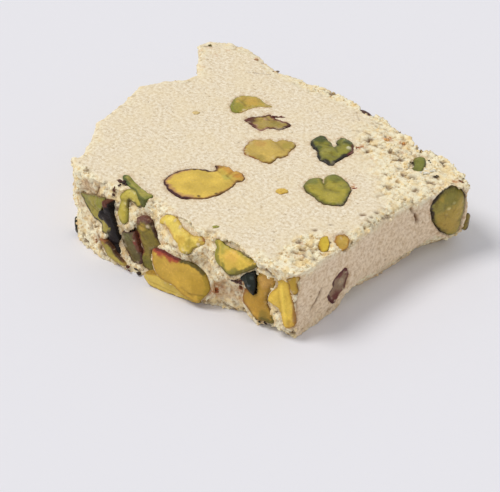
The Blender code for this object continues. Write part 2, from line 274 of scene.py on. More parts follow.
def pistachio_finish(name, gloss, wet, mottled):
    """A pistachio's surface: its own tone, mottled and finely grained, waxy or wet."""
    made = Recipe(name)
    tone = made.kept("tone", "Color")
    fine = made.cloud(0.45, detail=4.0, rough=0.7)
    broad = made.cloud(1.8, detail=4.0, rough=0.62)
    fibres = made.cloud(0.9, detail=3.0, rough=0.65, where=made.stretched((1.0, 3.4, 1.6)))
    colour = tone
    for veil, strength, share in (
        ((1.22, 1.22, 1.22, 1.0), 1.0, made.span(fine, 0.5, 0.72)),
        ((0.5, 0.4, 0.16, 1.0), 0.5 * mottled, made.span(broad, 0.5, 0.3)),
        ((0.42, 0.34, 0.16, 1.0), 0.35 * mottled, made.span(fibres, 0.56, 0.7)),
    ):
        colour = made.blend(colour, made.blend(tone, veil, strength, kind="MULTIPLY"), share)
    creases = made.cloud(0.6, detail=3.0, rough=0.6, where=made.stretched((1.0, 2.4, 1.3)))
    folded = made.raised(made.maths("MULTIPLY", creases, made.kept("skin")), 0.3, 0.7)
    lumpy = made.raised(broad, 0.25, 0.6, under=folded)
    made.surface(Base_Color=colour, Roughness=made.span(fine, 0.25, 0.75, gloss - 0.1, gloss + 0.16),
                Specular_IOR_Level=0.25, Coat_Weight=wet, Coat_Roughness=0.14,
                Normal=made.raised(fine, 0.08, 0.7, under=lumpy))
    return made.material


finishes = {
    "yellow": pistachio_finish("pistachio_cut_yellow", 0.48, 0.1, 0.4),
    "green": pistachio_finish("pistachio_cut_green", 0.38, 0.2, 1.0),
    "olive": pistachio_finish("pistachio_olive", 0.4, 0.14, 1.0),
    "skin": pistachio_finish("pistachio_skin", 0.42, 0.07, 1.0),
}
shaped_kernels = []       # each shaped kernel's frame and outline, which the paste is fitted to


def face_axes(facing):
    """The axes of a kernel's shown face: level across it, up it, and out of it."""
    azimuth, elevation = (math.radians(angle) for angle in facing)
    out = Vector((math.cos(azimuth) * math.cos(elevation), math.sin(azimuth) * math.cos(elevation),
                  math.sin(elevation)))
    across = Vector((1, 0, 0)) if abs(out.z) > 0.999 else Vector((0, 0, 1)).cross(out).normalized()
    return np.array((across, out.cross(across), out))


def rounded_outline(corners, ragged, seed):
    """A smooth closed line through the corners, with a ragged edge."""
    corners = np.array(corners, float)
    before, after, next_after = (np.roll(corners, steps, 0) for steps in (1, -1, -2))
    line = []
    for t in np.arange(OUTLINE_PIECES) / OUTLINE_PIECES:
        line.append(0.5 * (2 * corners + (after - before) * t
                           + (2 * before - 5 * corners + 4 * after - next_after) * t ** 2
                           + (3 * corners - before - 3 * after + next_after) * t ** 3))
    line = np.stack(line, axis=1).reshape(-1, 2)
    spread = np.column_stack([line, np.full(len(line), seed * 3.7)])
    along = np.roll(line, -1, 0) - np.roll(line, 1, 0)
    length = np.maximum(np.linalg.norm(along, axis=1), 1e-6)
    aside = np.column_stack([along[:, 1], -along[:, 0]]) / length[:, None]
    return line + aside * (ragged * swells(spread, seed, (1, 1.0), (0.8, 0.5)))[:, None]


def inside_by(flat, line):
    """How far each flat point is inside the closed line, and the corner number of the nearest part of it."""
    start, end = line, np.roll(line, -1, 0)
    run = end - start
    away = flat[:, None, :] - start[None]
    share = np.clip((away * run).sum(2) / np.maximum((run * run).sum(1), 1e-9), 0, 1)
    gaps = np.linalg.norm(away - share[..., None] * run, axis=2)
    above = (start[:, 1] > flat[:, None, 1]) != (end[:, 1] > flat[:, None, 1])
    rise = np.where(np.abs(run[:, 1]) < 1e-9, 1e-9, run[:, 1])
    crossing = start[:, 0] + (flat[:, None, 1] - start[:, 1]) * run[:, 0] / rise
    odd = (above & (flat[:, None, 0] < crossing)).sum(1) % 2 == 1
    return np.where(odd, gaps.min(1), -gaps.min(1)), gaps.argmin(1) / OUTLINE_PIECES


def paint(base, colour, share):
    """The tone of each point with a colour laid over a share of it."""
    return base * (1 - share[:, None]) + np.array(colour[:3]) * share[:, None]


def finish_piece(node, finish, mesh, points, tone, skinned):
    """The kernel as a piece of its own, in metres, with its tone and skin kept on its points."""
    mesh.name = node.replace("kernel_", "pistachio_")
    keep_tone(mesh, tone)
    keep_value(mesh, "skin", skinned)
    move_to(mesh, points * MM)
    for polygon in mesh.polygons:
        polygon.use_smooth = True
    mesh.materials.clear()
    mesh.materials.append(finishes[finish])
    piece = set_out(mesh.name, mesh)
    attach(piece, "root")
    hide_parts(node)


def kernel_block(line, lift, depth, narrow):
    """A closed block under the outline, which narrows downwards."""
    middle = line.mean(axis=0)
    solid = bmesh.new()
    rings = []
    levels = (lift, 1.0), (-0.45 * depth, 0.97), (-0.8 * depth, 0.5 + 0.5 * narrow), (-depth, narrow)
    for level, scale in levels:
        ring = middle + (line - middle) * scale
        rings.append([solid.verts.new((x, y, level)) for x, y in ring])
    for upper, lower in zip(rings, rings[1:]):
        for i in range(len(line)):
            k = (i + 1) % len(line)
            solid.faces.new((upper[i], lower[i], lower[k], upper[k]))
    solid.faces.new(rings[0])
    solid.faces.new(rings[-1][::-1])
    bmesh.ops.recalc_face_normals(solid, faces=solid.faces)
    bmesh.ops.triangulate(solid, faces=solid.faces)
    return mesh_from(solid, "kernel_block")


def shaped_kernel(node, finish, centre, facing, corners, tones, depth=3.5, crown=0.12, skin_width=0.12,
                  edge_width=0.8, bumps=0.08, sink=0.0, narrow=0.75, lift=0.08, ragged=0.12, facets=0.0,
                  dusty=0.15, collar=0.0, lean=None, bands=(), dabs=(), grooves=()):
    """A kernel with its own outline: a cut face with a crown, and flanks that narrow into the paste.

    tones are the flesh, the edge and the skin. A band is (first corner, last corner, width, colour, strength)
    along the edge, a dab is (across, up, radius, colour, strength, height) and a groove is
    (across, up, across, up, width, depth), both on the face. A groove's tone is darkened as painted shade, a
    ridge (a groove of negative depth) is lightened as a painted highlight, and a few pale dabs are painted
    glints.
    Above lean[0] the face curves back by lean[1].
    """
    seed = 17 * len(shaped_kernels)
    line = rounded_outline(corners, ragged, seed)
    axes = face_axes(facing)
    centre = np.array(centre, float)
    mesh = worked_mesh(kernel_block(line, lift, depth, narrow),
                       ("REMESH", {"mode": "VOXEL", "voxel_size": KERNEL_VOXEL}),
                       ("SMOOTH", {"factor": 0.5, "iterations": 2}))
    local, ways = places(mesh), outward_ways(mesh)
    inside, corner = inside_by(local[:, :2], line)
    faced = step_up(local[:, 2], lift - 0.5, lift - 0.12)
    ground = local @ axes + centre
    wave = swells(ground, seed, (1, 1.7), (0.5, 0.8))
    _, chip = crumbled(ground + 0.3 * wave[:, None], CHIP, seed + 9)
    dome = crown * (1 - np.exp(-np.maximum(inside, 0) / CROWN_REACH)) + bumps * wave
    dome = dome + 0.03 * swell(ground, 0.45, seed + 2) + facets * (chip - 0.5)
    uneven = swells(ground, seed + 3, (0.6, 1.1), (0.4, 0.5))
    depth_in = np.maximum(inside, 0) * faced
    flesh, edge, skin = (tint(*tone) for tone in tones)
    tone = np.tile(np.array(flesh[:3]), (len(local), 1))
    tone = tone * (1 + 0.16 * swell(ground, 2.6, seed + 5) + 0.5 * facets * (chip - 0.5))[:, None]
    tone = paint(tone, edge, 1 - step_up(depth_in, edge_width * 0.3, edge_width * (1.0 + 0.6 * uneven)))
    for across, up, radius, colour, strength, height in dabs:
        far = np.hypot(local[:, 0] - across, local[:, 1] - up) + 0.45 * uneven * radius
        share = 1 - step_up(far, radius * 0.45, radius * 1.1)
        tone = paint(tone, tint(*colour), strength * share * (0.3 + 0.7 * faced))
        dome = dome + height * share
    patchy = 0.35 + 0.9 * step_up(swell(ground, 2.2, seed + 8), -0.4, 0.5)
    skinned = 1 - step_up(depth_in, skin_width * patchy * 0.55 * (1 + 0.8 * uneven),
                          skin_width * patchy * (1 + 0.9 * uneven) + 0.06)
    tone = paint(tone, skin, skinned)
    for first, last, width, colour, strength in bands:
        along = (corner - first) % len(corners)
        reach = (last - first) % len(corners)
        within = step_up(along, -0.01, 0.5) * (1 - step_up(along, reach - 0.3, reach + 0.2))
        share = within * (1 - step_up(depth_in, width * 0.6 * (1 + 0.6 * uneven),
                                      width * (1 + 0.8 * uneven) + 0.05))
        tone = paint(tone, tint(*colour), strength * share)
        skinned = np.maximum(skinned, 0.7 * share)
    for x0, y0, x1, y1, width, cut in grooves:
        beside = np.linalg.norm(beside_run(local[:, :2], np.array((x0, y0)), np.array((x1, y1))), axis=1)
        dip = np.exp(-(beside / width) ** 2)
        dome = dome - cut * dip
        # Painted shade darkens a groove, and a painted highlight lightens a ridge.
        groove_shade_ridge_highlight = [0.5 * c for c in edge[:3]] if cut > 0 else [min(1.0, 1.3 * c) for c in flesh[:3]]
        tone = paint(tone, groove_shade_ridge_highlight, 0.4 * dip * faced)
    dust = step_up(swells(ground, seed + 6, (1, 0.9), (0.6, 0.4)), 0.45, 0.8)
    dust = dust * (1 - step_up(depth_in, 0.2, 1.6))
    tone = paint(tone, tint(*CREAM), dusty * dust)
    local = local + faced[:, None] * np.array((0, 0, 1)) * (dome + 0.1 * dusty * dust)[:, None]
    local = local + (1 - faced)[:, None] * ways * (0.06 * wave)[:, None]
    if lean:
        local[:, 2] -= lean[1] * np.maximum(local[:, 1] - lean[0], 0) ** 2
    points = local @ axes + centre
    points[:, 2] = np.maximum(points[:, 2], 0.0)
    shaped_kernels.append(SimpleNamespace(node=node, centre=centre, axes=axes, line=line, sink=sink,
                                          collar=collar, lift=lift, lean=lean or (99.0, 0.0)))
    finish_piece(node, finish, mesh, points, tone, skinned)


UP = (0, 90)
CREAM = (232, 214, 180)
ORANGE = (206, 136, 52)
PURPLE_SKIN = (66, 26, 28)
DARK_SKIN = (40, 28, 18)

shaped_kernel(
    "kernel_top_slice", "yellow", (3.4, -14.1, 18.0), UP,
    [(-3.6, -8.0), (-1.3, -8.4), (1.1, -8.1), (2.9, -7.0), (4.6, -5.0), (5.6, -2.8), (5.8, -0.3), (5.7, 2.4),
     (5.0, 4.5), (5.3, 6.1), (4.4, 7.4), (2.2, 7.9), (1.2, 7.2), (-0.6, 7.5), (-2.1, 6.8), (-3.3, 5.7),
     (-2.1, 4.8), (-2.1, 3.6), (-3.7, 2.8), (-5.5, 1.2), (-6.8, -0.8), (-7.1, -3.0), (-6.9, -4.9),
     (-6.1, -6.7)],
    ((217, 184, 80), (204, 160, 78), (82, 38, 32)), depth=4.6, skin_width=0.2, edge_width=0.9, ragged=0.16,
    dusty=0.0,
    bands=[(19.0, 3.2, 1.3, (188, 138, 96), 0.75), (2.6, 8.6, 0.45, (120, 84, 40), 0.85),
           (20.4, 3.0, 0.58, PURPLE_SKIN, 1.0), (16.6, 21.0, 0.8, (58, 24, 22), 0.95),
           (14.5, 16.8, 0.6, (74, 36, 26), 0.85), (9, 11, 0.4, (120, 70, 38), 0.8)],
    dabs=[(0.6, 6.6, 1.9, (214, 150, 62), 0.7, 0.2), (3.4, 6.4, 1.4, ORANGE, 0.75, 0.2),
          (4.8, 5.6, 0.8, (198, 156, 66), 0.8, 0.1), (0.2, 4.8, 1.2, (184, 158, 62), 0.6, -0.05),
          (2.2, 4.4, 1.3, (172, 172, 84), 0.6, 0.0), (3.4, -5.0, 0.5, (70, 40, 26), 0.8, 0.0),
          (5.3, -1.6, 0.4, (70, 40, 26), 0.8, 0.0), (-1.8, 5.8, 0.9, (150, 90, 44), 0.7, 0.15)],
    grooves=[(4.6, 4.4, 1.6, 4.9, 0.28, 0.22), (1.4, 7.2, 1.8, 4.8, 0.26, 0.22),
             (3.2, 7.4, 3.0, 5.4, 0.22, 0.15), (-1.9, 5.0, -0.2, 4.4, 0.25, 0.2)],
)
shaped_kernel(
    "kernel_top_wedge", "green", (-14.0, 15.0, 18.0), UP,
    [(-0.1, -5.4), (1.1, -5.2), (1.5, -4.2), (1.8, -2.8), (1.9, -1.4), (2.4, -0.2), (3.0, 1.0), (3.9, 1.9),
     (4.7, 2.8), (2.4, 2.6), (0.4, 2.9), (-1.2, 2.7), (-2.7, 1.8), (-3.7, 0.5), (-3.8, -1.1), (-3.0, -3.0),
     (-1.8, -4.5)],
    ((190, 160, 66), (168, 156, 62), (128, 122, 46)), crown=0.2, skin_width=0.14, edge_width=0.7, dusty=0.4,
    bands=[(14, 1.5, 0.9, (132, 134, 40), 0.75), (9, 12, 0.4, (150, 140, 52), 0.7),
           (1.5, 8, 0.3, (214, 186, 110), 0.8)],
    dabs=[(-0.6, -3.4, 2.4, (144, 140, 44), 0.8, 0.0), (0.2, 0.6, 2.0, (206, 166, 72), 0.65, 0.0),
          (-1.2, -1.2, 1.0, (168, 146, 48), 0.5, 0.0)],
    grooves=[(-2.8, -1.0, 0.2, -1.6, 0.4, 0.08)],
)
shaped_kernel(
    "kernel_top_skin", "skin", (-5.2, 12.3, 17.9), UP,
    [(-2.6, -3.2), (-0.5, -3.6), (1.0, -3.8), (1.9, -3.3), (1.7, -1.6), (2.8, -1.0), (4.3, 0.2), (4.6, 1.7),
     (4.4, 3.3), (3.5, 3.4), (2.1, 3.0), (0.5, 2.5), (-0.8, 2.6), (-2.1, 2.7), (-2.7, 1.5), (-3.3, -0.1),
     (-4.2, -1.5), (-4.4, -2.9)],
    ((170, 146, 74), (140, 100, 58), (76, 34, 26)), crown=-0.25, skin_width=0.3, edge_width=0.7, lift=0.12,
    ragged=0.2, dusty=0.3,
    bands=[(15.5, 1.2, 1.0, (96, 44, 34), 0.9), (8.6, 12.0, 0.7, (104, 40, 36), 0.9),
           (5.5, 9.2, 0.8, (70, 32, 24), 0.9), (11.5, 15, 0.75, (88, 38, 30), 0.85),
           (1, 4, 0.6, (176, 132, 118), 0.7)],
    dabs=[(-3.3, -1.9, 1.5, (92, 50, 34), 0.9, 0.1), (-0.9, -2.9, 0.9, (196, 146, 132), 0.5, 0.0),
          (-1.4, 0.9, 0.7, (196, 150, 130), 0.5, 0.0), (1.9, 0.6, 1.6, (160, 142, 66), 0.8, 0.25),
          (0.2, -0.9, 1.3, (178, 154, 84), 0.7, 0.2)],
    grooves=[(-2.4, 1.6, -0.6, 1.2, 0.3, 0.2), (-0.8, 1.2, 1.4, 2.0, 0.25, 0.15)],
)
shaped_kernel(
    "kernel_top_tan", "yellow", (3.9, 4.4, 18.0), UP,
    [(-2.8, -5.0), (-1.7, -4.8), (-0.1, -4.3), (1.9, -4.3), (3.0, -3.7), (3.7, -2.4), (3.2, -0.7),
     (4.0, -0.2), (4.2, 1.2), (3.5, 2.7), (3.1, 4.3), (2.4, 5.8), (1.3, 6.5), (0.0, 6.2), (-1.3, 5.1),
     (-1.6, 3.5), (-3.0, 3.4), (-4.0, 2.9), (-4.6, 1.8), (-5.6, 0.3), (-5.6, -1.0), (-4.8, -2.8),
     (-3.7, -4.4)],
    ((198, 168, 84), (180, 150, 66), (168, 126, 60)), skin_width=0.08, edge_width=0.6, bumps=0.14, ragged=0.3,
    dusty=0.3,
    bands=[(19, 2, 0.22, (150, 96, 50), 0.9), (9.5, 13.5, 0.35, (120, 92, 40), 0.8),
           (3, 8, 0.18, (132, 100, 46), 0.8)],
    dabs=[(-3.4, 0.4, 1.6, (202, 152, 84), 0.5, 0.0), (1.6, 4.4, 1.7, (164, 148, 60), 0.6, 0.0),
          (1.0, -3.4, 1.2, (158, 138, 58), 0.5, 0.0)],
    grooves=[(-1.0, 3.4, 2.4, 2.6, 0.4, 0.14)],
)
shaped_kernel(
    "kernel_top_torn", "green", (13.0, 14.9, 18.05), UP,
    [(-3.3, -2.4), (-1.5, -2.8), (-0.4, -4.0), (1.4, -4.6), (3.2, -4.6), (4.6, -4.2), (4.4, -2.6),
     (4.2, -1.1), (4.2, 0.6), (4.1, 2.5), (3.2, 4.2), (1.6, 5.3), (0.0, 5.8), (-1.3, 5.5), (-1.7, 4.0),
     (-0.7, 2.5), (-0.9, 1.8), (-2.7, 2.4), (-4.2, 2.8), (-5.6, 2.0), (-5.8, 0.4), (-5.3, -1.3)],
    ((142, 136, 46), (100, 102, 34), (44, 36, 18)), crown=0.25, skin_width=0.22, edge_width=1.3, bumps=0.2,
    ragged=0.28,
    bands=[(20.5, 3, 0.6, (34, 26, 16), 0.95), (3, 9.5, 0.8, (36, 24, 18), 0.95),
           (8, 10.5, 0.6, (108, 36, 34), 0.85), (17, 21, 0.6, (46, 50, 24), 0.85)],
    # The near-white dab is a painted glint.
    dabs=[(-4.4, 0.9, 1.9, (62, 74, 32), 0.85, 0.15), (0.9, 4.5, 1.6, (66, 76, 34), 0.85, 0.3),
          (-2.4, -1.6, 0.9, (74, 84, 34), 0.7, 0.1), (2.6, 3.0, 0.7, (222, 216, 180), 0.8, 0.2),
          (-0.4, 4.8, 0.6, (150, 160, 90), 0.6, 0.1), (0.0, -1.6, 1.6, (160, 152, 66), 0.6, 0.0)],
    grooves=[(-0.9, 1.9, 1.8, 0.4, 0.35, 0.3), (-3.4, -0.2, -1.4, 0.8, 0.3, 0.15)],
)
shaped_kernel(
    "kernel_top_heart", "green", (24.2, 3.6, 18.05), UP,
    [(-2.7, -4.3), (-0.4, -4.5), (1.9, -4.9), (3.5, -4.6), (5.0, -3.5), (6.1, -2.3), (5.6, -0.5), (4.2, 1.8),
     (3.3, 3.4), (2.2, 4.1), (0.0, 5.0), (-2.3, 5.2), (-3.8, 4.7), (-4.3, 3.3), (-3.8, 2.0), (-2.9, 0.9),
     (-4.1, 1.6), (-5.2, 1.4), (-5.9, 0.0), (-5.8, -1.6), (-4.8, -3.3)],
    ((168, 154, 54), (122, 118, 36), (84, 74, 32)), crown=0.3, edge_width=1.1, ragged=0.14, dusty=0.1,
    bands=[(4, 11, 0.34, (54, 42, 20), 0.9), (1, 4, 0.2, (96, 84, 36), 0.8),
           (17, 20, 0.22, (112, 116, 44), 0.8), (12, 15.5, 0.2, (190, 178, 96), 0.7),
           (7.5, 9, 0.4, (112, 44, 32), 0.8)],
    dabs=[(2.4, -2.0, 2.0, (186, 170, 72), 0.6, 0.0), (-2.0, 3.6, 2.2, (114, 118, 42), 0.8, 0.1),
          (-4.6, -0.8, 1.6, (118, 122, 48), 0.8, 0.0), (1.6, 2.6, 1.4, (140, 138, 52), 0.6, 0.0)],
    grooves=[(-3.4, 1.4, -0.8, -0.5, 0.36, 0.4), (-0.4, -0.9, 2.0, 0.4, 0.7, 0.12)],
)
shaped_kernel(
    "kernel_top_small", "green", (30.1, 25.4, 17.0), UP,
    [(-0.8, -0.8), (-0.2, -1.9), (1.1, -2.5), (2.1, -1.6), (1.5, -0.1), (0.7, 1.5), (-1.2, 3.4), (-2.4, 3.2),
     (-2.9, 1.9), (-2.3, 0.7)],
    ((122, 124, 46), (104, 108, 40), (76, 76, 30)), edge_width=0.6, lift=0.3, ragged=0.1,
    bands=[(6, 9, 0.4, (130, 112, 40), 0.8), (1, 3, 0.25, (52, 46, 24), 0.8)],
)
shaped_kernel(
    "kernel_top_strip", "green", (-4.6, -26.4, 18.1), UP,
    [(-4.4, -0.7), (-2.0, -1.4), (0.7, -1.7), (2.8, -2.4), (4.7, -2.4), (5.0, -1.2), (4.6, 0.1), (2.8, 0.0),
     (0.2, 0.2), (-3.1, 0.9), (-4.9, 1.3), (-5.8, 0.7), (-5.6, 0.0)],
    ((172, 162, 74), (132, 134, 46), (90, 96, 34)), crown=0.02, skin_width=0.14, edge_width=0.7, bumps=0.05,
    lift=0.12, ragged=0.1, dusty=0.1,
    bands=[(10, 1, 0.9, (74, 92, 36), 0.85), (1, 4, 0.5, (92, 96, 36), 0.8),
           (6.5, 10, 0.16, (120, 122, 50), 0.8)],
    dabs=[(1.8, -0.9, 1.4, (186, 174, 84), 0.5, 0.1), (4.4, -1.4, 0.9, (120, 126, 46), 0.6, 0.0)],
    grooves=[(-3.4, 0.2, 2.2, -0.9, 0.18, 0.1)],
)


# ================================================================================================
# The kernels in the cut side and its rim. The large one bulges from the cut, glossy and half peeled,
# and the others lie flush in the paste or at the worn rim.
# ================================================================================================

shaped_kernel(
    "kernel_cut_large", "green", (41.4, 24.0, 11.4), (-18, 0),
    [(-2.5, 5.8), (-3.9, 4.8), (-5.0, 3.1), (-4.9, 0.9), (-3.7, -2.6), (-2.0, -5.1), (0.5, -6.9), (2.5, -6.4),
     (3.2, -4.3), (3.5, -2.2), (3.9, 0.0), (3.9, 2.4), (3.1, 4.7), (1.5, 5.9), (-0.6, 6.5)],
    ((182, 154, 66), (142, 130, 54), (58, 38, 24)), depth=2.6, crown=1.3, skin_width=0.16, edge_width=1.5,
    bumps=0.12, narrow=0.4, lift=-0.5, ragged=0.16, dusty=0.1, collar=0.95, lean=(2.0, 0.06),
    bands=[(13.2, 3.6, 0.95, (44, 28, 20), 0.95), (3.4, 5.6, 0.6, (44, 34, 22), 0.9),
           (10.4, 13.4, 0.6, (58, 38, 24), 0.9), (5.4, 8, 0.45, (84, 86, 44), 0.8)],
    # The three small pale dabs are painted glints.
    dabs=[(-0.6, -3.0, 2.8, (184, 152, 66), 0.7, 0.0), (0.0, 4.2, 2.8, (132, 126, 54), 0.85, 0.0),
          (-3.0, 2.4, 2.0, (140, 134, 60), 0.7, 0.0), (-0.9, 1.6, 0.5, (226, 206, 130), 0.7, 0.2),
          (-1.4, 0.2, 0.4, (206, 184, 110), 0.6, 0.15), (0.4, 2.8, 0.4, (206, 194, 130), 0.5, 0.12)],
    grooves=[(-1.8, 2.6, -1.8, 1.0, 0.25, 0.12)],
)
shaped_kernel(
    "kernel_cut_skin", "skin", (39.9, -8.8, 7.3), (0, 0),
    [(0.6, 3.3), (-1.0, 2.9), (-2.0, 1.9), (-2.0, 0.5), (-3.4, -0.5), (-3.5, -2.0), (-1.5, -4.4),
     (-0.6, -3.6), (0.3, -2.6), (1.8, -1.9), (2.3, -0.2), (2.8, 1.7), (2.0, 3.6)],
    ((150, 122, 96), (112, 66, 52), (84, 32, 32)), depth=2.6, crown=-0.35, skin_width=0.3, lift=0.1,
    ragged=0.2, dusty=0.6,
    bands=[(0, 6.5, 0.9, (82, 30, 32), 0.95), (10.5, 0, 1.2, (96, 32, 32), 0.95),
           (6, 10, 0.2, (150, 110, 80), 0.7)],
    dabs=[(-1.0, -2.6, 1.8, (104, 46, 40), 0.9, 0.15), (0.2, 2.4, 1.3, (108, 40, 38), 0.85, 0.1),
          (0.8, 0.2, 1.2, (178, 156, 128), 0.8, -0.1)],
)
shaped_kernel(
    "kernel_rim_small", "yellow", (36.9, -10.9, 17.6), (-10, 70),
    [(-1.0, 0.2), (-1.4, -0.6), (-1.6, -1.9), (-0.4, -2.2), (0.7, -1.5), (1.4, -0.2), (1.9, 1.2), (0.8, 1.4),
     (-0.2, 0.9)],
    ((222, 190, 62), (200, 164, 46), (170, 132, 44)), depth=2.4, skin_width=0.1, edge_width=0.6, sink=0.3,
    lift=0.2, ragged=0.14, dusty=0.3,
    bands=[(2, 4, 0.4, (150, 128, 40), 0.7)],
)
shaped_kernel(
    "kernel_rim_tan", "yellow", (38.8, -6.6, 17.3), (-5, 50),
    [(-2.6, -0.4), (-2.7, -1.3), (-1.7, -2.1), (0.0, -1.8), (1.1, -0.7), (1.2, 0.4), (0.1, 1.2), (-1.2, 1.4),
     (-2.0, 0.8)],
    ((216, 178, 84), (200, 154, 66), (176, 124, 56)), depth=2.6, skin_width=0.1, sink=0.3, lift=0.2,
    ragged=0.22, dusty=0.7,
    bands=[(3, 6, 0.4, (150, 102, 48), 0.7)],
)


# ================================================================================================
# The kernels in the broken front. They stick out of the crumbly paste, some whole in their skins
# and some snapped across, so their colours run from yellow flesh through green to near-black skin.
# ================================================================================================

shaped_kernel(
    "kernel_front_leaf", "green", (-13.4, -32.6, 9.4), (-95, 8),
    [(-4.5, 0.9), (-2.5, -0.3), (0.0, -1.3), (2.7, -1.4), (3.4, -2.8), (4.6, -2.7), (6.0, -1.8), (6.6, -0.6),
     (5.9, 0.6), (5.0, 1.3), (3.5, 1.3), (2.6, 1.8), (2.5, 2.8), (3.0, 4.2), (3.2, 5.4), (1.4, 5.0),
     (-1.0, 4.4), (-3.6, 3.2), (-5.9, 2.3)],
    ((156, 142, 56), (130, 124, 44), (106, 94, 40)), bumps=0.16, sink=0.8, lift=-0.35, ragged=0.14,
    facets=0.2, collar=0.6,
    bands=[(18, 3.5, 0.62, (48, 36, 22), 0.95), (3.5, 6.5, 0.5, (70, 56, 30), 0.85),
           (14.5, 18, 0.3, (140, 110, 80), 0.6)],
    dabs=[(1.4, 3.0, 1.5, (142, 142, 52), 0.7, 0.0), (4.6, -0.8, 1.6, (172, 154, 60), 0.7, 0.0),
          (-3.4, 1.6, 1.6, (128, 130, 64), 0.6, 0.0)],
    grooves=[(-4.4, 1.9, 4.0, 0.4, 0.22, 0.12)],
)
shaped_kernel(
    "kernel_front_pale", "green", (-4.2, -30.6, 14.3), (-80, 30),
    [(-1.8, -1.7), (-0.6, -3.0), (0.6, -3.1), (1.2, -2.0), (0.6, -0.1), (-0.1, 1.5), (0.5, 2.2), (1.6, 1.9),
     (2.7, 1.5), (3.6, 2.1), (3.6, 3.5), (2.4, 4.0), (1.1, 4.6), (-0.5, 4.6), (-2.1, 3.6), (-2.6, 2.3),
     (-2.3, 0.9), (-2.2, -0.4)],
    ((196, 178, 76), (162, 150, 58), (140, 132, 50)), crown=0.45, bumps=0.16, sink=0.9, lift=-0.1,
    ragged=0.14, collar=0.4,
    bands=[(4, 10, 0.45, (78, 64, 28), 0.8), (15, 18, 0.3, (206, 190, 130), 0.6)],
    dabs=[(0.8, 3.2, 1.6, (204, 188, 90), 0.6, 0.2), (-0.6, -1.4, 1.4, (186, 166, 60), 0.6, 0.15)],
    grooves=[(-1.9, 1.4, -0.1, 1.6, 0.4, 0.3)],
)
shaped_kernel(
    "kernel_front_dull", "olive", (-4.2, -32.0, 4.6), (-85, 0),
    [(-0.6, 1.4), (0.2, -0.1), (1.4, -1.8), (3.0, -2.8), (5.4, -2.0), (5.2, 0.3), (4.4, 2.0), (3.8, 4.2),
     (3.4, 5.6), (1.6, 5.0), (-0.4, 4.0)],
    ((104, 92, 50), (94, 76, 48), (76, 44, 36)), crown=0.3, skin_width=0.2, edge_width=0.9, bumps=0.16,
    sink=1.0, lift=-0.5, facets=0.3, dusty=0.4,
    bands=[(1, 5, 0.8, (78, 42, 36), 0.9), (5, 8, 0.9, (116, 64, 48), 0.8)],
    dabs=[(1.4, 3.6, 1.6, (118, 116, 66), 0.7, 0.0), (3.6, 2.8, 0.7, (150, 50, 40), 0.8, 0.1)],
    grooves=[(0.2, 1.0, 2.6, 0.6, 0.2, 0.15)],
)
shaped_kernel(
    "kernel_front_dark", "skin", (-8.6, -31.6, 6.8), (-88, 0),
    [(-1.5, 6.4), (-1.2, 5.4), (-2.6, 4.4), (-3.1, 3.1), (-2.6, 2.3), (-1.2, 2.3), (-0.3, 1.1), (0.0, -0.8),
     (-0.5, -2.6), (1.2, -4.2), (3.4, -5.6), (5.0, -5.4), (3.9, -3.2), (3.2, -1.7), (3.4, -0.2), (2.8, 1.7),
     (2.3, 3.5), (1.1, 5.6), (0.5, 6.8), (0.6, 8.2), (-1.4, 7.8)],
    ((28, 16, 11), (22, 13, 10), (18, 10, 8)), crown=0.6, skin_width=0.3, edge_width=0.9, bumps=0.2, sink=0.9,
    lift=0.9, dusty=0.0, collar=0.3,
    bands=[(18.6, 0.4, 1.2, (96, 46, 26), 0.9)],
    dabs=[(-0.4, 7.6, 1.0, (104, 48, 26), 0.9, 0.1), (1.6, -1.0, 1.2, (22, 14, 20), 0.7, 0.2),
          (2.8, -4.2, 1.2, (52, 24, 22), 0.7, 0.0)],
    grooves=[(-1.4, 4.6, 0.6, 4.6, 0.3, 0.35)],
)
shaped_kernel(
    "kernel_front_olive", "olive", (1.4, -30.0, 7.2), (-75, 5),
    [(-2.4, 3.8), (-1.7, 1.5), (-0.8, -1.1), (-1.2, -4.2), (0.0, -5.8), (2.0, -6.0), (3.4, -5.5), (2.1, -2.0),
     (1.9, -0.3), (4.2, 1.5), (3.2, 3.3), (2.3, 4.7), (1.4, 6.0), (0.1, 7.0), (-1.5, 6.9), (-2.6, 6.0)],
    ((142, 124, 48), (124, 106, 44), (102, 64, 44)), crown=0.5, skin_width=0.2, edge_width=1.0, bumps=0.18,
    sink=0.8, ragged=0.18, facets=0.25, dusty=0.2, collar=0.35,
    bands=[(9, 13, 0.4, (70, 44, 30), 0.95), (12, 15.6, 1.2, (112, 70, 60), 0.9),
           (0, 3, 0.6, (128, 62, 50), 0.8), (3, 5, 0.5, (64, 46, 30), 0.8)],
    dabs=[(-0.8, 4.8, 1.1, (196, 160, 70), 0.7, 0.0), (0.4, -4.0, 2.0, (116, 114, 44), 0.7, 0.0),
          (2.0, 2.6, 1.8, (132, 118, 44), 0.6, 0.0), (0.6, 5.4, 0.7, CREAM, 0.7, 0.15)],
    grooves=[(-1.6, 4.9, 1.2, 4.6, 0.3, 0.25)],
)
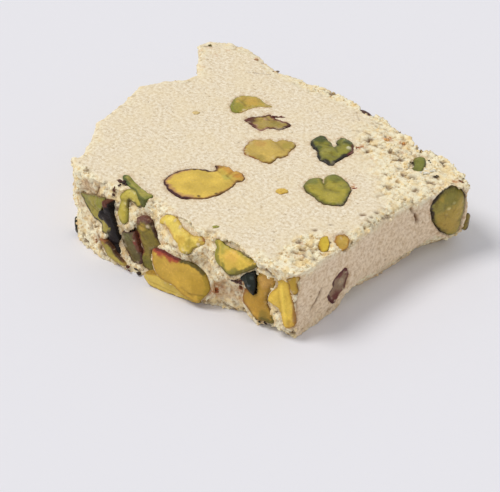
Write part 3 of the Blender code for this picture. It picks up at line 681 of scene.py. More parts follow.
shaped_kernel(
    "kernel_front_large", "yellow", (14.0, -30.7, 6.5), (-72, 14),
    [(-7.4, 1.1), (-6.5, -1.0), (-5.3, -2.2), (-3.8, -2.6), (-1.7, -3.0), (0.8, -4.3), (3.6, -4.9),
     (4.9, -4.8), (5.8, -3.9), (7.0, -1.8), (6.9, 0.3), (5.7, 2.0), (3.9, 3.0), (1.7, 3.6), (0.1, 3.4),
     (-1.5, 3.7), (-3.8, 3.9), (-5.4, 4.3), (-6.5, 4.2), (-7.6, 3.6)],
    ((206, 166, 64), (192, 150, 56), (160, 116, 50)), depth=4.6, crown=0.2, sink=0.9, dusty=0.0, collar=0.25,
    bands=[(14.2, 19.0, 1.5, (170, 66, 50), 0.9), (14.0, 18.4, 0.55, (96, 30, 28), 0.9),
           (10.5, 14.4, 0.6, (80, 74, 28), 0.9), (7, 11, 1.2, (160, 132, 34), 0.75),
           (19.0, 0.4, 0.3, (196, 126, 60), 0.5)],
    dabs=[(4.6, -1.0, 2.6, (178, 140, 40), 0.6, 0.0), (-3.0, 1.0, 2.2, (216, 172, 76), 0.5, 0.0),
          (-5.4, 3.6, 0.8, (210, 110, 90), 0.5, 0.08)],
    grooves=[(2.4, -3.6, 6.0, -3.0, 0.25, 0.2), (0.6, -2.8, 3.6, -3.9, 0.2, 0.12)],
)
shaped_kernel(
    "kernel_front_under", "yellow", (11.4, -31.2, 0.95), (-74, 0),
    [(-7.0, 0.5), (-5.7, -0.6), (-3.7, -0.8), (-1.3, -0.8), (1.9, -0.8), (4.3, -0.8), (6.2, -0.8), (7.2, 0.0),
     (6.7, 0.5), (3.9, 1.1), (1.2, 1.9), (-1.2, 2.5), (-3.6, 2.9), (-6.0, 2.5), (-7.3, 2.0)],
    ((224, 194, 90), (204, 168, 66), (176, 138, 54)), depth=3.0, crown=0.15, skin_width=0.08, edge_width=0.4,
    sink=0.8, dusty=0.4, collar=0.3,
    grooves=[(-6.0, 0.6, 5.6, -0.3, 0.14, 0.12)],
)
shaped_kernel(
    "kernel_front_rim", "yellow", (11.4, -28.8, 15.0), (-75, 34),
    [(-4.6, 0.9), (-3.7, 0.8), (-2.5, -0.2), (-1.1, -1.2), (0.3, -2.1), (1.1, -3.3), (2.4, -3.6), (3.8, -2.9),
     (4.3, -1.7), (5.7, -0.7), (6.4, 0.5), (5.5, 1.3), (4.1, 1.0), (2.4, 0.9), (0.3, 1.6), (-1.0, 2.7),
     (-2.6, 3.3), (-4.3, 3.0), (-5.1, 2.2), (-5.5, 1.0)],
    ((240, 212, 102), (216, 182, 76), (196, 164, 76)), crown=0.4, skin_width=0.1, bumps=0.2, sink=0.9,
    lift=-0.15, ragged=0.14, facets=0.2, dusty=0.7, collar=0.8,
    bands=[(5.5, 9.0, 0.6, (160, 138, 54), 0.75), (9.6, 11, 0.6, (140, 66, 40), 0.75),
           (0, 3, 0.5, (214, 172, 104), 0.7)],
    dabs=[(-3.4, 2.2, 1.6, (240, 214, 96), 0.7, 0.1), (1.0, -1.0, 1.6, (206, 164, 58), 0.6, 0.1),
          (3.2, -1.4, 1.6, (180, 154, 54), 0.7, 0.1), (5.4, 0.2, 1.0, (176, 140, 60), 0.7, 0.0)],
    grooves=[(2.6, 0.4, 3.4, -2.0, 0.3, 0.12)],
)
shaped_kernel(
    "kernel_front_half", "yellow", (26.2, -26.0, 14.5), (-72, 34),
    [(-5.1, 1.4), (-5.1, -0.1), (-4.2, -1.3), (-2.9, -2.1), (-1.5, -2.9), (0.0, -3.1), (1.7, -2.3),
     (3.0, -1.3), (4.2, -0.4), (5.2, 0.8), (5.3, 1.5), (3.5, 1.8), (1.9, 2.0), (0.7, 2.3), (-0.9, 2.4),
     (-2.5, 2.5), (-3.5, 2.7), (-4.8, 3.4), (-5.8, 2.9)],
    ((220, 184, 78), (190, 168, 64), (110, 104, 42)), crown=0.5, skin_width=0.16, edge_width=1.1, bumps=0.14,
    sink=0.9, facets=0.15, collar=0.5,
    bands=[(0.5, 6, 1.4, (138, 130, 52), 0.85), (5, 9.5, 0.8, (112, 100, 42), 0.9),
           (2.5, 5.5, 0.35, (70, 62, 30), 0.8), (17, 0.8, 0.8, (140, 134, 52), 0.8)],
    dabs=[(-4.0, 1.6, 1.5, (168, 160, 68), 0.7, 0.0), (-0.8, 0.8, 1.6, (226, 176, 84), 0.6, 0.1),
          (2.2, 0.0, 1.5, (214, 186, 70), 0.5, 0.0), (-3.0, -0.8, 0.8, (206, 186, 90), 0.6, 0.1)],
    # The two ridges are painted highlights.
    grooves=[(-4.4, 2.6, -2.7, -1.7, 0.2, -0.12), (-1.6, 1.8, 2.2, 0.6, 0.3, -0.1)],
)
shaped_kernel(
    "kernel_front_teal", "skin", (29.1, -25.2, 9.4), (-70, 0),
    [(-0.8, 1.2), (-0.2, 0.0), (0.9, -1.1), (1.9, -1.5), (2.1, 1.9), (1.9, 4.2), (0.0, 3.5), (-1.5, 1.9)],
    ((24, 32, 20), (18, 24, 14), (12, 14, 11)), crown=0.5, skin_width=0.25, edge_width=0.6, sink=0.9,
    lift=0.6, ragged=0.08, dusty=0.0,
    # The pale blue-grey dab is a painted glint, and the ridge is a painted highlight line.
    dabs=[(0.7, 0.9, 0.45, (130, 140, 150), 0.6, 0.15), (1.5, 3.0, 0.6, (84, 92, 84), 0.5, 0.1),
          (1.2, -0.6, 0.5, (92, 76, 64), 0.5, 0.05)],
    grooves=[(0.2, 3.0, 1.4, -0.8, 0.2, -0.2)],
)
shaped_kernel(
    "kernel_front_amber", "yellow", (31.9, -24.4, 7.0), (-72, 6),
    [(-0.7, 3.8), (-0.7, 1.1), (-1.8, 1.2), (-3.5, 1.3), (-4.0, -1.6), (-2.3, -3.5), (-0.4, -5.2),
     (1.7, -5.2), (3.4, -5.0), (4.4, -3.8), (3.7, -2.6), (2.3, -1.5), (1.8, 0.5), (2.3, 2.1), (3.4, 4.2),
     (3.7, 6.3), (2.9, 6.8), (1.7, 7.3), (0.2, 7.0), (-0.7, 5.6)],
    ((196, 150, 56), (176, 138, 50), (132, 96, 40)), crown=0.3, edge_width=1.0, bumps=0.14, sink=0.9,
    facets=0.15, dusty=0.1, collar=0.4,
    bands=[(6, 10, 1.3, (92, 88, 36), 0.8), (2, 5, 0.7, (168, 104, 52), 0.7),
           (4, 7, 0.5, (150, 112, 44), 0.7)],
    dabs=[(1.4, 5.0, 2.2, (206, 160, 86), 0.7, 0.1), (0.6, -0.4, 1.6, (180, 134, 40), 0.6, 0.0),
          (1.4, -3.4, 1.6, (136, 116, 44), 0.7, 0.0)],
    grooves=[(2.6, 4.6, 1.6, 0.2, 0.3, 0.2)],
)
shaped_kernel(
    "kernel_front_long", "yellow", (37.1, -23.7, 8.2), (-66, 10),
    [(-0.5, 4.6), (-0.8, 3.5), (-2.0, 2.3), (-2.5, 0.3), (-1.2, -0.5), (0.0, -1.1), (0.8, -2.5), (1.6, -4.7),
     (2.8, -5.1), (4.0, -3.9), (3.7, -1.4), (3.1, 1.6), (2.5, 3.3), (2.0, 5.4), (0.9, 6.3), (-0.6, 5.6)],
    ((236, 198, 82), (222, 182, 70), (196, 150, 58)), crown=0.4, skin_width=0.1, edge_width=0.7, bumps=0.1,
    sink=0.9, ragged=0.1, dusty=0.1, collar=0.4,
    bands=[(7, 10.5, 0.6, (178, 128, 52), 0.8), (8, 14, 0.3, (168, 116, 48), 0.7)],
    dabs=[(-0.8, 1.2, 1.6, (230, 190, 74), 0.5, 0.0), (2.6, -3.6, 1.2, (196, 148, 56), 0.6, 0.0)],
    # The ridge is a painted highlight line.
    grooves=[(0.6, 4.4, 2.2, -3.6, 0.35, -0.25), (-0.2, 3.0, 0.9, -1.8, 0.25, 0.12)],
)
shaped_kernel(
    "kernel_front_corner", "yellow", (39.9, -22.3, 13.4), (-50, 10),
    [(-0.9, 0.7), (-0.5, -0.8), (0.4, -1.8), (1.1, -0.6), (0.8, 0.8), (1.4, 2.1), (0.9, 2.8), (-1.2, 1.9)],
    ((196, 158, 56), (172, 132, 48), (136, 96, 44)), depth=2.4, skin_width=0.14, edge_width=0.5, sink=0.7,
    lift=0.15, dusty=0.3, collar=0.4,
)
shaped_kernel(
    "kernel_front_sliver", "olive", (-6.2, -33.6, 2.7), (-84, 0),
    [(-2.2, 0.2), (-0.8, -1.1), (1.6, -1.7), (3.8, -1.5), (3.9, -0.6), (1.6, 0.5), (-0.2, 2.0), (-1.9, 2.3),
     (-3.7, 2.5)],
    ((178, 158, 66), (152, 132, 54), (124, 84, 44)), depth=2.4, crown=0.3, skin_width=0.16, edge_width=0.7,
    sink=0.8, ragged=0.2, dusty=0.6, collar=0.7,
    bands=[(6.5, 9, 0.8, (166, 104, 60), 0.75), (4, 7, 0.4, (72, 44, 30), 0.85),
           (1, 4, 0.5, (196, 166, 80), 0.7)],
    dabs=[(0.4, 1.0, 1.2, (140, 130, 50), 0.7, 0.0)],
)


# ================================================================================================
# The kernels in the broken left side, at the back and in the base, and two small ones at corners.
# They are of the same kinds as the others: cut or snapped faces, or whole in their skins.
# ================================================================================================

FACET_LOSS = 1.05         # rounding a faceted solid takes this share off its width
FILL = 0.13               # how far a kernel's flanks swell into the gap of the socket
SEAM_DEPTH = 0.25         # how deep the seam between a kernel's two halves shows in its cut face
SEAM_WIDTH = 0.2
LEAST_CUT = 0.16          # a face with more than this share of a kernel's area is its cut face
TONED_EDGE = 0.9          # how far in from its skin a cut face has the edge's tone

shaped_kernel(
    "kernel_left_dark", "green", (-20.0, -32.4, 4.2), (-140, 0),
    [(1.4, 1.6), (-0.2, 0.8), (-1.5, -1.4), (-1.8, -3.7), (-0.6, -4.2), (1.2, -2.6), (1.8, -0.4)],
    ((72, 78, 34), (56, 60, 28), (40, 40, 22)), depth=3.0, crown=0.3, skin_width=0.2, edge_width=0.9,
    sink=0.9, lift=0.1, collar=0.7,
)

def merged_copy(node):
    """A node's mesh in millimetres, with its loose triangles joined."""
    joined = bmesh.new()
    joined.from_mesh(frame["nodes"][node].data)
    bmesh.ops.scale(joined, vec=(1 / MM, 1 / MM, 1 / MM), verts=joined.verts)
    bmesh.ops.remove_doubles(joined, verts=joined.verts, dist=1e-3)
    return joined


def tree_of(*shapes):
    """The faces of the shapes, for finding the nearest one."""
    points, faces = [], []
    for shape in shapes:
        start = len(points)
        shape.verts.index_update()
        points += [vert.co.copy() for vert in shape.verts]
        faces += [tuple(vert.index + start for vert in face.verts) for face in shape.faces]
    return BVHTree.FromPolygons(points, faces)


def distances(tree, points, reach):
    """How far each point is from the tree's faces, up to reach."""
    found = [tree.find_nearest(point, reach)[3] for point in points.tolist()]
    return np.array([reach if distance is None else distance for distance in found])


def rounded_kernel(node):
    """The node's solid with its facets rounded, and its cut face if it has one: middle, way out and flank."""
    solid = merged_copy(node)
    bmesh.ops.dissolve_limit(solid, angle_limit=math.radians(1.5), verts=solid.verts, edges=solid.edges)
    total = sum(face.calc_area() for face in solid.faces)
    face = max(solid.faces, key=lambda one: one.calc_area())
    cut = face.calc_area() > LEAST_CUT * total
    middle = sum((v.co for v in solid.verts), Vector()) / len(solid.verts)
    way = face.normal.copy()
    if cut:
        middle = face.calc_center_median()
        crease = solid.edges.layers.float.new("crease_edge")
        for edge in face.edges:
            edge[crease] = 1.0
    bmesh.ops.translate(solid, vec=-middle, verts=solid.verts)
    bmesh.ops.scale(solid, vec=(FACET_LOSS,) * 3, verts=solid.verts)
    bmesh.ops.translate(solid, vec=middle, verts=solid.verts)
    smooth = worked_mesh(mesh_from(solid, "kernel_block"), ("SUBSURF", {"levels": 3, "render_levels": 3}))
    mesh = worked_mesh(smooth, ("REMESH", {"mode": "VOXEL", "voxel_size": KERNEL_VOXEL * 1.2}))
    if not cut:
        return mesh, None
    shell = bmesh.new()
    shell.from_mesh(smooth)
    level = [f for f in shell.faces
             if f.normal.dot(way) > 0.985 and abs((f.calc_center_median() - middle).dot(way)) < 0.03]
    bmesh.ops.delete(shell, geom=level, context="FACES")
    flank = tree_of(shell)
    shell.free()
    return mesh, SimpleNamespace(middle=np.array(middle), way=np.array(way), flank=flank)


def seam_between_halves(points, faced, cut, seed):
    """How far each point is in the seam, which wanders along the cut face and stops short of the tip."""
    from_middle = points - cut.middle
    spread = from_middle[faced > 0.5]
    long_way = np.linalg.eigh(spread.T @ spread)[1][:, 2]
    half_length = np.abs(spread @ long_way).max()
    beside = from_middle @ np.cross(cut.way, long_way)
    beside = beside + 0.5 * swell(points, 2.4, seed) + 0.15 * swell(points, 0.8, seed + 1)
    to_tip = np.abs(from_middle @ long_way + 0.15 * half_length)
    short_of_tip = 1 - step_up(to_tip, 0.4 * half_length, 0.75 * half_length)
    return np.exp(-(beside / SEAM_WIDTH) ** 2) * short_of_tip * faced


def dressed_kernel(node, finish, tones, skin_width=0.35, fill=FILL, parted=0.0, seed=0):
    """A pistachio in the shape of its node's solid: rounded, grained, and toned from its skin in.

    tones are the flesh, the edge and the skin, and parted is the depth of the seam."""
    mesh, cut = rounded_kernel(node)
    points, ways = places(mesh), outward_ways(mesh)
    faced, depth, seam = np.zeros((3, len(points)))
    if cut:
        height = (points - cut.middle) @ cut.way
        faced = step_up(ways @ cut.way, 0.5, 0.85) * step_up(-np.abs(height), -0.25, -0.12)
        depth = distances(cut.flank, points, 5.0) * faced
    if parted:
        seam = seam_between_halves(points, faced, cut, seed + 10)
    wave = swells(points, seed, (1, 1.6), (0.5, 0.7))
    relief = faced * (0.12 * wave + 0.02 * swell(points, 0.45, seed + 2)) + (1 - faced) * (fill + 0.1 * wave)
    points = points + ways * (relief - parted * seam)[:, None]
    points[:, 2] = np.maximum(points[:, 2], 0.0)
    uneven = swells(points, seed + 3, (0.6, 1.1), (0.4, 0.5))
    flesh, edge, skin = (tint(*tone) for tone in tones)
    tone = np.tile(np.array(flesh[:3]), (len(points), 1)) * (1 + 0.18 * swell(points, 2.6, seed + 5))[:, None]
    tone = paint(tone, edge, 0.7 * step_up(swell(points, 3.4, seed + 9), -0.1, 0.6))
    tone = paint(tone, edge, 1 - step_up(depth, TONED_EDGE * 0.35, TONED_EDGE * (1.0 + 0.6 * uneven)))
    # Painted shade darkens the seam between the halves.
    tone = paint(tone, [0.4 * c for c in edge[:3]], 0.6 * seam)
    if cut:
        patchy = 0.15 + 0.95 * step_up(swell(points, 2.6, seed + 8), -0.35, 0.45)
        skinned = 1 - step_up(depth, skin_width * patchy * 0.6 * (1 + 0.8 * uneven),
                              skin_width * patchy * (1 + 0.8 * uneven) + 0.08)
        dust = step_up(swells(points, seed + 6, (1, 0.9), (0.6, 0.4)), 0.4, 0.8)
        dust = dust * (1 - step_up(depth, 0.2, 1.6)) * faced
    else:
        skinned = step_up(uneven + skin_width - 0.5, -0.1, 0.25)
        dust = 0.6 * step_up(swells(points, seed + 6, (1, 1.1), (0.7, 0.5)), 0.6, 1.0)
    tone = paint(paint(tone, skin, skinned), tint(*CREAM), 0.45 * dust)
    finish_piece(node, finish, mesh, points, tone, skinned)


KINDS = {                 # the tones of flesh, edge and skin
    "yellow": ((214, 184, 96), (180, 154, 74), PURPLE_SKIN),
    "green": ((166, 160, 84), (124, 130, 60), DARK_SKIN),
    "olive": ((136, 126, 68), (120, 112, 58), (130, 118, 62)),
    "skin": ((100, 70, 56), (84, 52, 44), PURPLE_SKIN),
}
PARTED = {"left_low", "left_tongue", "back_tall", "back_large", "base_split"}

dressed_kernel("kernel_cut_corner", "green", ((128, 104, 40), (134, 114, 44), (80, 60, 30)), 0.45, fill=-0.15,
               seed=112)
for number, (place, kind) in enumerate((
    ("left_low", "yellow"), ("left_olive", "olive"), ("left_tall", "green"), ("left_small", "yellow"),
    ("left_tongue", "green"), ("back_rim", "skin"), ("back_tongue", "skin"), ("back_far", "yellow"),
    ("back_olive", "olive"), ("back_tall", "green"), ("back_large", "yellow"), ("back_near", "green"),
    ("back_corner", "yellow"), ("base_long", "yellow"), ("base_split", "green"), ("base_small", "yellow"),
)):
    dressed_kernel("kernel_" + place, kind, KINDS[kind], parted=SEAM_DEPTH if place in PARTED else 0.0,
                   seed=140 + number)


# ================================================================================================
# The sesame paste. A slab of ground sesame and spun sugar, pressed round the kernels in a tray: fine
# and fibrous where a knife went through it, crumbly with small pits where it was broken by hand.
# ================================================================================================

PASTE_VOXEL = 0.28     # mesh size of the paste before it is thinned
PASTE_TRIANGLES = 192_000
THICKNESS = 18.0
GAP_FILL = 0.62           # the paste closes up to a kernel by more than the socket's gap
CLUMP, CRUMB, GRAIN = 2.6, 1.3, 0.62          # the sizes that the paste breaks into
CLUMP_HEIGHT, CRUMB_HEIGHT, GRAIN_HEIGHT = 0.42, 0.55, 0.3
PIT_DEPTH = 0.42          # of the hollows where clumps meet, coloured brown and darkened as painted shade
HOLE_SPACING, HOLE_DEPTH = 1.9, 0.2
KNIFE_SIDE = 33.5, 35.5   # the cut side begins between these distances from the middle
CORNER_START = 12.0, 22.0  # a point of the line beyond which the right corner is crumbled
NEAR_CHIP = 36.4, -15.6   # the middle of the chip beside the near corner
RIM_ROUND = 1.3           # how far the rim over the cut is worn round
STAINS = [                # where kernels have coloured the paste: centre, radius, strength
    ((-16.3, -31.4, 14.8), 2.6, 0.9), ((-13.6, -31.2, 16.6), 1.8, 0.7), ((-18.6, -31.6, 9.6), 1.8, 0.6),
    ((-10.6, -31.0, 13.6), 2.2, 0.5), ((23.4, -26.4, 5.0), 4.2, 0.95), ((19.8, -26.6, 4.6), 2.4, 0.9),
    ((6.4, -29.0, 10.6), 3.0, 0.55), ((18.4, -27.6, 10.8), 2.6, 0.6), ((2.6, -29.6, 14.2), 2.4, 0.55),
    ((36.2, -17.0, 17.6), 3.0, 0.35), ((34.8, -19.4, 17.8), 2.0, 0.8), ((28.4, -24.6, 11.0), 2.4, 0.6),
    ((7.4, -31.4, 4.6), 2.2, 1.0), ((25.4, -25.2, 9.0), 2.2, 1.0), ((10.6, -31.6, 3.2), 2.2, 1.0),
]
SPOTS = [                 # orange-brown marks left by the skins: centre, radius, strength
    ((18.3, 27.9, 17.8), 1.2, 1.0), ((21.2, 29.6, 17.5), 0.9, 0.9), ((16.7, 20.7, 18.0), 0.9, 0.9),
    ((17.6, 18.9, 18.0), 0.6, 0.7), ((26.9, 8.4, 18.0), 0.8, 0.9), ((21.5, 19.6, 18.0), 0.6, 0.6),
    ((24.4, 26.4, 17.8), 0.8, 0.6), ((39.9, 27.2, 17.6), 1.0, 0.9), ((19.8, -26.8, 4.2), 2.3, 1.0),
    ((20.8, -26.4, 5.2), 1.5, 0.9), ((26.2, -24.4, 5.8), 1.1, 0.9), ((26.4, -24.4, 3.9), 1.0, 0.8),
    ((27.4, -25.4, 9.0), 1.5, 0.9), ((-12.0, -33.2, 3.6), 1.2, 0.6), ((33.6, -14.6, 17.9), 1.2, 0.5),
    ((36.6, -17.4, 17.8), 1.2, 0.45), ((-39.8, 25.4, 17.9), 1.0, 0.5), ((-40.4, 22.8, 17.9), 0.9, 0.45),
    ((-36.0, 24.1, 18.0), 0.8, 0.4), ((-34.2, 17.8, 18.0), 0.9, 0.4), ((-35.8, 27.8, 17.9), 0.9, 0.4),
    ((-27.8, 29.8, 17.8), 0.9, 0.8), ((-25.4, 30.0, 17.8), 0.8, 0.7), ((-21.0, 29.8, 17.8), 0.9, 0.7),
]
CRACKS = [                # lines where the paste has parted, darkened in them as painted shade: points along them, half width, depth
    ([(37.6, 13.4, 17.9), (39.2, 13.3, 16.2), (39.4, 14.9, 13.6), (39.5, 15.7, 11.6)], 0.28, 0.7),
    ([(-24.6, 24.2, 18.0), (-22.6, 25.6, 18.0), (-20.3, 27.3, 17.9)], 0.14, 0.25),
    ([(5.3, 30.8, 17.8), (6.4, 29.8, 17.9), (8.4, 28.6, 17.9)], 0.16, 0.3),
    ([(-42.0, 24.6, 17.8), (-40.2, 26.0, 17.9)], 0.2, 0.3),
    ([(40.9, -22.0, 10.6), (40.6, -21.7, 7.4), (40.3, -21.6, 4.2)], 0.22, 0.5),
    ([(21.0, -26.4, 1.1), (23.0, -25.2, 0.9), (25.2, -24.6, 0.6), (27.4, -24.3, 0.6)], 0.26, 0.45),
    ([(19.1, -26.7, 8.4), (19.5, -26.5, 8.1)], 0.3, 0.5),
    ([(24.9, -24.6, 1.9), (25.6, -24.4, 2.2)], 0.28, 0.5),
    ([(27.0, -24.3, 1.8), (27.4, -24.3, 1.4)], 0.3, 0.5),
    ([(18.6, -27.6, 1.8), (19.3, -27.3, 0.9)], 0.4, 0.6),
    ([(34.6, 22.9, 17.6), (35.4, 24.2, 17.6), (36.8, 25.0, 17.6)], 0.22, 0.35),
    ([(17.6, -28.2, 13.6), (19.2, -27.6, 12.6), (20.6, -27.2, 13.4)], 0.2, 0.4),
    ([(40.6, -14.6, 9.4), (40.4, -15.9, 7.3), (40.2, -17.1, 5.0)], 0.24, 0.3),
    ([(36.5, 18.0, 17.9), (36.9, 18.2, 17.9)], 0.32, 0.5),
    ([(35.4, 2.2, 18.0), (35.7, 2.5, 18.0)], 0.32, 0.45), ([(37.2, 3.0, 17.9), (37.4, 3.3, 17.9)], 0.3, 0.45),
    ([(36.7, 5.1, 17.9), (37.0, 5.4, 17.9)], 0.3, 0.4),
    ([(33.3, -14.6, 18.0), (33.8, -14.4, 18.0)], 0.3, 0.45),
    ([(35.4, -15.7, 17.9), (35.8, -15.2, 17.9)], 0.36, 0.55),
    ([(35.6, -13.3, 17.9), (36.0, -12.9, 17.9)], 0.32, 0.5),
    ([(32.4, -9.6, 18.0), (32.8, -9.2, 18.0)], 0.3, 0.4),
    ([(33.8, -5.4, 18.0), (34.1, -5.1, 18.0)], 0.28, 0.35),
    ([(35.0, -17.6, 17.9), (35.6, -17.2, 17.9)], 0.32, 0.5),
    ([(37.4, -13.2, 17.8), (37.8, -12.8, 17.8)], 0.28, 0.4),
    ([(33.0, 20.4, 17.8), (33.6, 20.8, 17.8)], 0.32, 0.5),
    ([(29.0, 20.0, 18.0), (29.5, 20.6, 18.0)], 0.28, 0.4),
    ([(25.2, 22.6, 18.0), (25.8, 22.9, 18.0)], 0.26, 0.4),
    ([(32.4, 20.3, 17.9), (32.8, 20.7, 17.9)], 0.45, 0.8),
    ([(30.6, 19.7, 17.9), (31.0, 20.1, 17.9)], 0.34, 0.55),
    ([(31.7, 13.5, 17.9), (32.1, 13.9, 17.9)], 0.4, 0.6),
    ([(36.5, 17.3, 17.9), (36.9, 17.7, 17.9)], 0.36, 0.55),
    ([(28.1, 20.8, 17.9), (28.5, 21.2, 17.9)], 0.26, 0.4),
    ([(30.9, 27.1, 17.9), (31.3, 27.5, 17.9)], 0.34, 0.6),
]

kernel_copies = [merged_copy(name) for name in sorted(frame["nodes"]) if name.startswith("kernel_")]
kernel_tree = tree_of(*kernel_copies)
for copy in kernel_copies:
    copy.free()
paste_solid = merged_copy("halva_slab")
walls = paste_solid.copy()
inner = [
    face for face in walls.faces
    if abs(face.normal.z) > 0.6 or kernel_tree.find_nearest(face.calc_center_median(), 0.6)[0] is not None
]
bmesh.ops.delete(walls, geom=inner, context="FACES")
wall_tree = tree_of(walls)
walls.free()

# The paste runs in under each shaped kernel, up to its own outline, so its socket is filled first.
for kernel in shaped_kernels:
    out = kernel.axes[2]
    filling = merged_copy(kernel.node)
    filling.normal_update()
    shown = -kernel.sink if out[2] < 0.99 else min(0.0, THICKNESS - kernel.centre[2])
    for vert in filling.verts:
        place = np.array(vert.co + vert.normal * GAP_FILL) - kernel.centre
        vert.co = Vector(place - out * max(0.0, place @ out - shown) + kernel.centre)
    paste_solid.from_mesh(mesh_from(filling, "filling"))
paste_mesh = worked_mesh(
    mesh_from(paste_solid, "paste_block"),
    ("REMESH", {"mode": "VOXEL", "voxel_size": PASTE_VOXEL, "adaptivity": 0.0}),
    ("SMOOTH", {"factor": 0.5, "iterations": 3}),
)

rest = places(paste_mesh)
ways = outward_ways(paste_mesh)
x, y, z = rest.T
level = rest.copy()
level[:, 2] = np.minimum(z, 15.5)
from_rim = distances(wall_tree, level, 20.0)

on_base = step_up(-ways[:, 2], 0.8, 0.95) * step_up(-z, -0.9, -0.4)
on_top = step_up(z, 14.5, 16.2) * step_up(ways[:, 2], 0.35, 0.75)
on_knife_side = step_up(ways[:, 0], 0.75, 0.93) * step_up(x, *KNIFE_SIDE)
on_side = (1 - on_top) * (1 - on_base)

# How far in from the rim the top is crumbled: most at the right corner and beside the near corner.
corner_line = (y - CORNER_START[1]) + 0.62 * (x - CORNER_START[0])
corner_line = corner_line + 3.0 * swell(rest, 5.0, 3) + 1.5 * swell(rest, 2.2, 6)
corner_zone = step_up(corner_line, -2.0, 5.0) * step_up(x, 6, 16)
from_chip = np.hypot(x - NEAR_CHIP[0], (y - NEAR_CHIP[1]) / 1.6)
near_chip = 1 - step_up(from_chip + 1.3 * swell(rest, 2.4, 4), 3.2, 5.4)
back_rim = np.exp(-((x + 9.0) / 9.0) ** 2) * step_up(y, 26, 30)
rim_width = 1.3 + 1.2 * swell(rest, 6.0, 5) + 1.6 * step_up(y, 18, 30) + step_up(x, 30, 38) + 1.6 * back_rim
rim_wear = 1 - step_up(from_rim + 0.8 * swell(rest, 1.6, 7), rim_width * 0.4, rim_width + 1.4)
worn = np.maximum.reduce([corner_zone * 0.78, near_chip, rim_wear * 0.9])
knife_part = on_knife_side * (1 - 0.75 * step_up(z + 0.9 * swell(rest, 2.6, 9), 14.6, 17.2))
low_band = on_knife_side * (1 - step_up(z + 1.2 * swell(rest, 2.6, 8), 1.0, 3.2))
rough = on_top * worn + on_side * (1 - 0.9 * knife_part)
rough = np.clip(np.maximum(rough, low_band * 0.8), 0, 1) * (1 - on_base)


def marked_by(marks, blur, size, seed, solid_part):
    """How strongly each point is coloured by round marks with ragged edges."""
    ragged = blur * swell(rest, size, seed)
    found = np.zeros(len(rest))
    for centre, radius, strength in marks:
        far = np.linalg.norm(rest - centre, axis=1) / radius + ragged
        found = np.maximum(found, strength * (1 - step_up(far, solid_part, 1.1)))
    return found


stained = marked_by(STAINS, 0.45, 1.5, 90, 0.45)
spotted = marked_by(SPOTS, 0.7, 0.9, 94, 0.3)
smeared = np.maximum(step_up(swells(rest, 55, (1, 4.5), (0.5, 2.0)), 0.05, 0.5) * on_side, 0.7 * stained)

# The rim over the cut is worn round, and the rims at the left and the back are smoother than the rest.
soft_rim = np.exp(-((y - 6.0) / 9.0) ** 2)
rim_round = RIM_ROUND + RIM_ROUND * soft_rim + 0.9 * swell(rest, 3.2, 65) + 0.4 * swell(rest, 1.5, 66)
rim_round = np.clip(rim_round, 0.5, 4.0)
inward = np.where(on_top > 0.5, from_rim, 0.0) - rim_round
downward = np.where(on_top > 0.5, 0.0, THICKNESS - z) - rim_round
pushed = rim_round / np.maximum(np.hypot(inward, downward), 1e-6) - 1
pushed = np.where((inward < 0) & (downward < 0), pushed, 0) * step_up(x, 34, 37) * (1 - on_base)
cut_rim = np.column_stack([inward * pushed, np.zeros(len(rest)), downward * pushed])
rough = rough * (1 - 0.45 * step_up(-x, 2, 14) * step_up(y, -29, -24) * (1 - 0.8 * back_rim))
rough = np.clip(rough * (1 - 0.5 * stained * on_side), 0, 1)

large_gap, _ = crumbled(rest, CLUMP, 20)
swayed = rest + 0.25 * np.column_stack([swell(rest, 0.8, seed) for seed in (91, 92, 93)])
middle_gap, middle_own = crumbled(swayed, CRUMB, 30)
small_gap, small_own = crumbled(rest, GRAIN, 40)
clumps = CLUMP_HEIGHT * (0.62 - large_gap) * (0.4 + 0.6 * on_side + 0.6 * corner_zone * on_top)
crumbs = CRUMB_HEIGHT * (0.52 - middle_gap ** 1.5) * (0.25 + 0.9 * middle_own)
grains = GRAIN_HEIGHT * (small_own - 0.5) * step_up(-small_gap, -0.6, -0.4)
loosened = rough * (1 - 0.65 * smeared) * (1 + 0.35 * np.maximum(corner_zone, near_chip) * on_top)
relief = (
    loosened * (clumps + crumbs + grains)
    + rough * on_side * (0.5 * swell(rest, 3.4, 50) + 0.2 * swell(rest, 1.5, 52))
    + (1 - rough) * (0.05 * swell(rest, 0.9, 60) + 0.1 * (0.45 - small_gap) * small_own
                     + 0.06 * swell(rest, 6.0, 61))
    + knife_part * (0.12 * swell(rest, 1.8, 62) + 0.1 * swell(rest * np.array((1.0, 0.35, 1.0)), 0.7, 63))
    - 0.35 * near_chip * on_top - 0.1 * corner_zone * on_top
)
# A few tiny holes where air was pressed into the paste.
hole_gap, hole_own = crumbled(rest, HOLE_SPACING, 70)
hole = (hole_own > 0.45) * (1 - step_up(hole_gap, 0.05, 0.16)) * (1 - rough)
relief -= HOLE_DEPTH * hole
# Where three clumps meet there is a hollow, coloured brown and darkened as painted shade.
pit = rough * (step_up(middle_gap, 0.56, 0.86) * 0.9 + step_up(large_gap, 0.66, 0.95) * 0.6)
pit = pit * (0.12 + 0.88 * step_up(swell(rest, 2.2, 51), -0.1, 0.5))
pit = pit * (1 + (0.4 * corner_zone - 0.3 * near_chip) * on_top)
relief -= PIT_DEPTH * pit
moved = rest + ways * (relief * (1 - on_base))[:, None] - cut_rim

# The paste stops at each kernel's outline, with a fine dark line and a little oil soaked in round it.
oily = np.maximum(stained, 0.5 * smeared * step_up(-y, 19, 24))


def near_kernel(kernel):
    """The paste's points close to a kernel: their numbers, places by its face, and how far inside it."""
    reach = np.abs(kernel.line).max() + 2.5
    close = np.nonzero(np.linalg.norm(rest - kernel.centre, axis=1) < reach * 1.5)[0]
    local = (moved[close] - kernel.centre) @ kernel.axes.T
    local[:, 2] += kernel.lean[1] * np.maximum(local[:, 1] - kernel.lean[0], 0) ** 2 - kernel.lift
    here = np.nonzero((np.abs(local) < (reach, reach, 3.4)).all(axis=1))[0]
    close, local = close[here], local[here]
    return close, local, inside_by(local[:, :2], kernel.line)[0]


